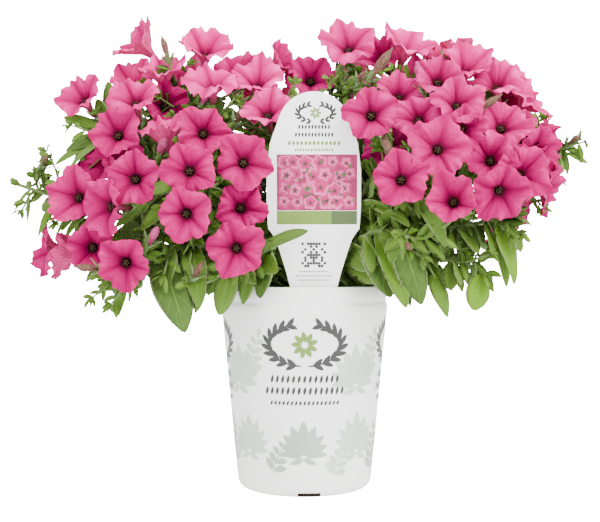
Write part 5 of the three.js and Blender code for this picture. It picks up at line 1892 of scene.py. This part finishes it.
def add_leaf(
    skin: Skin, leaf: Leaf, blade: Blade, tone: float, rng: np.random.Generator, roll: float = 0.0
) -> None:
    """Adds a leaf: an oval blade that folds up from its midrib, with puffs between its side veins.

    The half width is a power of the sine of the way along it. The height over the midrib is the
    fold, by the distance from the rib, less the rim's outward roll, and a wave along the rim.

    Args:
        skin: the leaves so far.
        leaf: its place.
        blade: how finely it is made.
        tone: its green, from dark to light.
        rng: the draw for its fold and wave.
        roll: how far the blade is turned about its midrib.
    """
    rows, columns = blade.value
    t = np.linspace(0.035, 0.98, rows)[:, None]
    upper = np.linspace(-1, 1, columns)
    v = np.concatenate([upper, upper[-2:0:-1]])
    lower = np.concatenate([np.zeros(columns), np.ones(columns - 2)])
    shape = np.maximum(np.sin(math.pi * t ** rng.uniform(1.0, 1.4)) ** rng.uniform(0.55, 0.7), 0.16 * (1 - t))
    half = 0.5 * leaf.width * shape
    fold, curl, wave = rng.uniform(0.05, 0.4), rng.uniform(0.0, 0.4), rng.uniform(0.02, 0.12)
    twist = roll + rng.uniform(-0.4, 0.4) * t
    phase = rng.uniform(0, 2 * math.pi)
    tangent = unit(leaf.at(t[:, 0] + 0.01) - leaf.at(t[:, 0] - 0.01))[:, None]
    side = unit(leaf.side - np.sum(leaf.side * tangent, -1, keepdims=True) * tangent)
    normal = np.cross(side, tangent)
    side, normal = (
        side * np.cos(twist)[..., None] + normal * np.sin(twist)[..., None],
        normal * np.cos(twist)[..., None] - side * np.sin(twist)[..., None],
    )
    off = np.abs(v)
    puff = 0.07 * np.abs(np.sin(math.pi * (VEIN_PAIRS * t - VEIN_SLANT * off))) * np.sin(math.pi * off)
    rise = half * (fold * off - curl * off**2.5 + wave * off**3 * np.sin(9 * t + phase + v) + puff)
    rise = rise - lower * 0.45 * (1 - off**2)
    points = leaf.at(t[:, 0])[:, None] + side * (half * v)[..., None] + normal * rise[..., None]
    skin.add(
        points, leaf.at(0.0), leaf.at(1.0), along=t + 0 * v, sideways=v + 0 * t, under=lower,
        tone=tone, bright=leaf.bright,
    )


@dataclass
class LeafyStem:
    """One stem: its crown, shoots, twigs, stalks and calyxes, and its leaves from broad to small."""

    owner: int
    plan: PlantPlan
    inner_spacing: float = 4.6
    small_spacing: float = 6.0
    twig_spacing: float = 16.0
    stalk_pairs: int = 6

    def __post_init__(self) -> None:
        """Seeds the draws of this stem."""
        self.rng = np.random.default_rng(SEED + 500 + self.owner)
        self.stem = Skin()
        self.leaves = Skin()

    def add_shoots(self) -> None:
        """Adds the crown and the shoots, which are tubes along their curves."""
        foot = LEAFY_STEMS[self.owner][0]
        low = np.array([*foot, FORK_LEVEL - 14.0])
        crown = low + np.linspace(0, 1, 6)[:, None] * (0, 0, 18.0)
        self.stem.add(tube_rings(crown, np.array([2.4, 2.8, 3.0, 3.0, 2.9, 2.2]), 10))
        for shoot in self.own_shoots():
            path = shoot.curve.point(np.linspace(0, 1, 22))
            self.stem.add(tube_rings(path, np.linspace(STEM_ROOT_RADIUS, STEM_TIP_RADIUS, 22), 8))

    def own_shoots(self) -> list[Shoot]:
        """The shoots of this stem."""
        return [shoot for shoot in self.plan.shoots if shoot.owner == self.owner]

    def add_stalks(self) -> None:
        """Adds each flower stalk, with pairs of small leaves along it."""
        for stalk in self.plan.stalks + self.plan.more_stalks:
            if stalk and stalk.owner == self.owner:
                add_stalk(self.stem, stalk.bloom, stalk.curve, self.rng)
                for t in self.rng.uniform(0.1, 0.92, self.stalk_pairs):
                    self.add_pair(stalk.curve, t)

    def add_pair(self, curve: Curve, t: float) -> None:
        """Adds two small leaves that face each other across a stalk, where they have room."""
        tangent = curve.tangent(t)
        side, up = across(tangent)
        turn = self.rng.uniform(0, math.pi)
        for hand in (0, math.pi):
            way = unit(0.8 * swing(side, up, turn + hand) + 0.6 * tangent)
            self.try_leaf(curve.point(t), way, self.rng.uniform(9, 17), aspect=0.42, bright=0.3)

    def try_leaf(
        self, root: Array, direction: Array, length: float, aspect: float, bright: float,
        tone: float = 1.0, blade: Blade = Blade.SMALL,
    ) -> bool:
        """Adds a small leaf if it keeps clear of flowers, pot and label, and stays in the solids' box.

        Args:
            root: where it starts.
            direction: where it points.
            length: its length.
            aspect: its width as a share of its length.
            bright: how bright a green it has at most, which is partly painted backlight glow.
            tone: how light a green it has at most.
            blade: how finely it is made.

        Returns:
            Whether it had room.
        """
        if abs(direction[2]) > 0.97:
            return False
        leaf = Leaf(root, direction, length, aspect * length, self.rng.uniform(0.05, 0.45))
        leaf.bright = float(bright * self.rng.random())
        leaf.side = unit(np.cross(direction, wish_of(root) + self.rng.uniform(-0.6, 0.6, 3)))
        tone = float(tone * self.rng.uniform(0.35, 1.0))
        tip = leaf.at(1.0) * MM
        inside = np.all(tip > CAD_BOX[0]) and np.all(tip < CAD_BOX[1])
        if not inside or not self.plan.room.is_free(leaf.balls(), root, lowest_owner=FLOWER_OWNER):
            return False
        add_leaf(self.leaves, leaf, blade, tone, self.rng)
        return True

    def add_leaves(self) -> None:
        """Adds the leaves that have solids, then more between them, and leafy twigs."""
        for number, (owner, leaf) in enumerate(self.plan.leaves):
            if owner == self.owner:
                self.add_planned(leaf, number < len(BROAD_LEAVES))
        shoots = self.own_shoots()
        for owner, number, along, tip, width, bright in MORE_LEAVES:
            if owner == self.owner:
                self.add_more(shoots[number], along, tip, width, bright)
        for shoot in shoots:
            self.dress_shoot(shoot)
        for owner, number, along, tip in TWIGS:
            if owner == self.owner:
                curve = shoots[number].curve
                self.add_twig(curve.point(along), curve.tangent(along), np.array(tip, float))

    def add_planned(self, leaf: Leaf, old: bool) -> None:
        """Adds a leaf that has a solid.

        It rolls towards the light. A broad old one is dark and hardly rolls, and a young one is
        slimmer the nearer it is to the outside of the bush.

        Args:
            leaf: its place.
            old: whether it is one of the broad leaves over the rim.
        """
        wish, normal = wish_of(leaf.root), np.cross(leaf.side, leaf.direction)
        limit = 0.4 if old and leaf.width > 12 and leaf.bright < 0.6 else 1.2
        roll = max(-limit, min(limit, math.atan2(-(wish @ leaf.side), wish @ normal)))
        share = mix(0.7, 0.0, (leaf.width - 10) / 14) if old else 1.0
        tone = max(share, 0.0) * float(self.rng.random())
        if not old:
            reach = np.linalg.norm((leaf.root - DOME_CENTRE) / DOME_RADII)
            slimmer = mix(1.0, 0.62, float(smooth_step(0.75, 1.1, reach)))
            leaf = replace(leaf, width=leaf.width * slimmer)
        add_leaf(self.leaves, leaf, Blade.BROAD, tone, self.rng, roll)

    def dress_shoot(self, shoot: Shoot) -> None:
        """Adds a shoot's inner leaves, its small ones, the tuft at its tip, and its side twigs."""
        for i, away in enumerate(np.arange(8.0, 0.9 * shoot.length, self.inner_spacing)):
            along, angle = away / shoot.length, shoot.phase + 2 + GOLDEN_ANGLE * i
            length = mix(32, 18, along)
            self.grow(
                shoot.curve, along, angle, length, ahead=0.3, aspect=0.5, bright=0.1, tone=0.75,
                blade=Blade.INNER,
            )
        for i, away in enumerate(np.arange(18.0, shoot.length, self.small_spacing)):
            along, angle = away / shoot.length, shoot.phase + 1 + GOLDEN_ANGLE * i
            length, bright = mix(26, 10, along), 0.15 + 0.4 * along
            self.grow(shoot.curve, along, angle, length, ahead=0.5, aspect=0.46, bright=bright)
        self.add_tuft(shoot.curve, shoot.phase)
        for away in np.arange(34.0, shoot.length - 8, self.twig_spacing):
            self.sprout(shoot, away / shoot.length)

    def sprout(self, shoot: Shoot, along: float) -> None:
        """Adds a short side twig where a way out is free of flowers; it turns until one is."""
        root, tangent = shoot.curve.point(along), shoot.curve.tangent(along)
        side, up = across(tangent)
        turn, length = self.rng.uniform(0, 2 * math.pi), self.rng.uniform(16, 30)
        for step in range(6):
            out = unit(swing(side, up, turn + step * math.pi / 3) + 0.5 * tangent + (0, 0, 0.25))
            way = as_column(np.linspace(0.3, 1, 6)) * length * out + root
            balls = np.column_stack([way, np.full(6, 3.0)])
            if self.plan.room.is_free(balls, root, lowest_owner=FLOWER_OWNER):
                self.add_twig(root, tangent, root + length * out)
                return

    def add_twig(self, root: Array, tangent: Array, tip: Array) -> None:
        """Adds a thin side twig with leaves a golden angle apart and a tuft at its tip."""
        span = float(np.linalg.norm(tip - root))
        curve = Curve(root, root + 0.3 * span * tangent, tip - 0.35 * span * unit(tip - root), tip)
        self.stem.add(tube_rings(curve.point(np.linspace(0, 1, 7)), np.linspace(0.95, 0.6, 7), 6))
        phase = self.rng.uniform(0, 2 * math.pi)
        for i, away in enumerate(np.arange(4.0, span - 2, 3.8)):
            along, angle = away / span, phase + GOLDEN_ANGLE * i
            aspect, bright = mix(0.46, 0.36, along), 0.2 + 0.4 * along
            self.grow(curve, along, angle, mix(17, 8, along), ahead=0.6, aspect=aspect, bright=bright)
        self.add_tuft(curve, phase)

    def add_more(self, shoot: Shoot, along: float, tip: tuple, width: float, bright: float) -> None:
        """Adds one more drooping leaf from a shoot to a tip."""
        root = shoot.curve.point(along)
        leaf = leaf_to(root, tip, width, bright)
        leaf.side = unit(np.cross(leaf.direction, wish_of(root)))
        add_leaf(self.leaves, leaf, Blade.BROAD, 0.6 * float(self.rng.random()), self.rng)

    def add_tuft(self, curve: Curve, phase: float) -> None:
        """Adds young leaves round the tip of a shoot."""
        for k in range(6):
            length, ahead = 5.0 + 1.1 * (k % 4), 0.35 + 0.25 * k
            self.grow(curve, 0.985, phase + 2.4 * k, length, ahead, aspect=0.42, bright=0.6)

    def grow(
        self, curve: Curve, along: float, angle: float, length: float, ahead: float, aspect: float,
        bright: float, tone: float = 1.0, blade: Blade = Blade.SMALL,
    ) -> None:
        """Tries one leaf at an angle round a curve, leaning ahead along it, and turns it if need be."""
        tangent = curve.tangent(along)
        side, up = across(tangent)
        length *= self.rng.uniform(0.75, 1.2)
        for turn in (0, 0.9, -0.9, 1.8):
            way = unit(0.8 * swing(side, up, angle + turn) + ahead * tangent)
            if self.try_leaf(curve.point(along), way, length, aspect, bright, tone, blade):
                return

    def build(self, palette: Palette) -> None:
        """Makes the stem's two pieces."""
        self.add_shoots()
        self.add_stalks()
        self.add_leaves()
        node = f"leafy_stem_{self.owner + 1}"
        self.stem.piece(f"stem_{self.owner + 1}", [palette.material(STEM)], "foliage", [node])
        self.leaves.piece(f"leaves_{self.owner + 1}", [palette.material(LEAF)], "foliage", [node])


@dataclass
class Petunia:
    """The plant: every stem with its leaves, and every flower and bud."""

    plan: PlantPlan = field(default_factory=PlantPlan)
    front_columns: int = 96
    dome_columns: int = 80
    hidden_columns: int = 64

    def flower_nodes(self) -> dict[int, str]:
        """The solid that holds each flower, by the flower's number."""
        nodes = {}
        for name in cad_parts:
            kind, *numbers = name.split("_")
            if kind == "flower":
                nodes.update({int(number): name for number in numbers})
        return nodes

    def place_more(self) -> tuple[list[Bloom], list[Bud]]:
        """Places the half-hidden flowers and the buds, each with a stalk."""
        plan = self.plan
        flowers, buds = [], []
        for number, (at, turn, tilt, size, cup) in enumerate(HIDDEN_FLOWERS):
            bloom = plan.plan_bloom(np.array(at, float), facing(turn, tilt), size, cup)
            own = HIDDEN_OWNER + number
            plan.more_stalks.append(plan.plan_stalk(bloom, own, forced=True))
            plan.room.place(own, bloom.balls()[-4:])
            flowers.append(bloom)
        for number, (base, tip, girth, blunt) in enumerate(BUDS):
            base, tip = np.array(base, float), np.array(tip, float)
            axis = unit(tip - base)
            bloom = plan.plan_bloom(base + TUBE_LENGTH * axis, axis, 6.0, 0.0)
            plan.more_stalks.append(plan.plan_stalk(bloom, BUD_OWNER + number, forced=True))
            buds.append(Bud(bloom, float(np.linalg.norm(tip - base)), girth, blunt))
        return flowers, buds

    def build(self, palette: Palette) -> None:
        """Makes the stems, the flowers and the buds."""
        hidden, buds = self.place_more()
        LOG.info("%d flowers and %d buds added", len(hidden), len(buds))
        for owner in range(len(LEAFY_STEMS)):
            LeafyStem(owner, self.plan).build(palette)
        nodes = self.flower_nodes()
        finishes = [palette.material(PETAL), palette.material(ANTHER)]
        for number, bloom in enumerate(self.plan.blooms + hidden, start=1):
            replaced = [nodes[number]] if number in nodes else []
            columns = self.dome_columns if replaced else self.hidden_columns
            if number <= len(FRONT_FLOWERS):
                columns = self.front_columns
            skin = Skin()
            FlowerHead(bloom, number, columns).add_to(skin)
            skin.piece(f"bloom_{number:02d}", finishes, "petal", replaced)
        skin = Skin()
        for bud in buds:
            bud.add_to(skin, int(bud.blunt > 0))
        skin.piece("buds", [palette.material(BUD), palette.material(FOLDED)], "petal", [])


@dataclass
class Studio:
    """The white floor, the soft lights and the camera at the photograph's angle."""

    camera_at: tuple[float, float, float] = (-0.0029, -0.720, 0.146)
    lens: float = 66.18
    sensor: float = 36.0
    floor_size: float = 6.0
    floor_colour: Colour = (0.93, 0.93, 0.93)
    sky: float = 2.2
    backdrop: float = 24.0
    lit_point: tuple[float, float, float] = (0.0, 0.0, 0.18)
    lights: tuple[tuple, ...] = (
        ("key", (0.7, -1.0, 1.65), 0.8, 58),
        ("fill", (-1.0, -1.4, 0.7), 0.9, 16),
        ("side", (1.3, -0.9, 0.6), 0.9, 14),
    )

    def area(self, name: str, at: tuple, size: float, power: float) -> None:
        """Adds a square soft light that looks at the plant."""
        light = bpy.data.lights.new(name, "AREA")
        light.size = size
        light.energy = power
        lamp = bpy.data.objects.new(name, light)
        lamp.location = at
        aim = np.array(self.lit_point) - np.array(at)
        tilt = math.acos(-aim[2] / np.linalg.norm(aim))
        lamp.rotation_euler = (tilt, 0, math.atan2(aim[1], aim[0]) - math.pi / 2)
        bpy.context.scene.collection.objects.link(lamp)

    def build_floor(self) -> None:
        """Makes the floor, which shows almost as bright as the backdrop behind it."""
        half = self.floor_size / 2
        mesh = bpy.data.meshes.new("floor")
        corners = [(-half, -half, 0), (half, -half, 0), (half, half, 0), (-half, half, 0)]
        mesh.from_pydata(corners, [], [range(4)])
        floor = bpy.data.objects.new("floor", mesh)
        bpy.context.scene.collection.objects.link(floor)
        paint = bpy.data.materials.new("floor_paint")
        paint.use_nodes = True
        tree = Tree(paint.node_tree)
        surface = paint.node_tree.nodes["Principled BSDF"]
        seen = tree.node("ShaderNodeLightPath").outputs["Is Camera Ray"]
        Finish.set_up(surface, Base_Color=(*self.floor_colour, 1), Roughness=0.9, Emission_Color=(1, 1, 1, 1))
        Finish.join(tree, surface, Emission_Strength=tree.maths("MULTIPLY", seen, self.backdrop - 2.0))
        mesh.materials.append(paint)

    def build_backdrop(self) -> None:
        """Makes the world: a white backdrop to look at, and a softer sky to light by."""
        world = bpy.data.worlds.new("studio")
        world.use_nodes = True
        tree = Tree(world.node_tree)
        seen = tree.node("ShaderNodeLightPath").outputs["Is Camera Ray"]
        strength = tree.maths("ADD", tree.maths("MULTIPLY", seen, self.backdrop - self.sky), self.sky)
        background = world.node_tree.nodes["Background"]
        background.inputs["Color"].default_value = (1, 1, 1, 1)
        world.node_tree.links.new(strength, background.inputs["Strength"])
        bpy.context.scene.world = world

    def build(self) -> None:
        """Makes the floor, the world, the lights and the camera."""
        self.build_floor()
        self.build_backdrop()
        for light in self.lights:
            self.area(*light)
        camera = bpy.data.cameras.new("camera")
        camera.lens = self.lens
        camera.sensor_width = self.sensor
        camera.dof.use_dof = False
        eye = bpy.data.objects.new("camera", camera)
        eye.location = self.camera_at
        eye.rotation_euler = (math.pi / 2, 0, 0)
        bpy.context.scene.collection.objects.link(eye)
        bpy.context.scene.camera = eye


def main() -> None:
    """Builds the object, piece by piece, then the studio."""
    logging.basicConfig(level=logging.INFO, format="%(name)s: %(message)s")
    palette = Palette()
    NurseryPot().build(palette)
    PottingSoil().build(palette)
    LabelStake().build(palette)
    Petunia().build(palette)
    Studio().build()


if __name__ == "__main__":
    main()
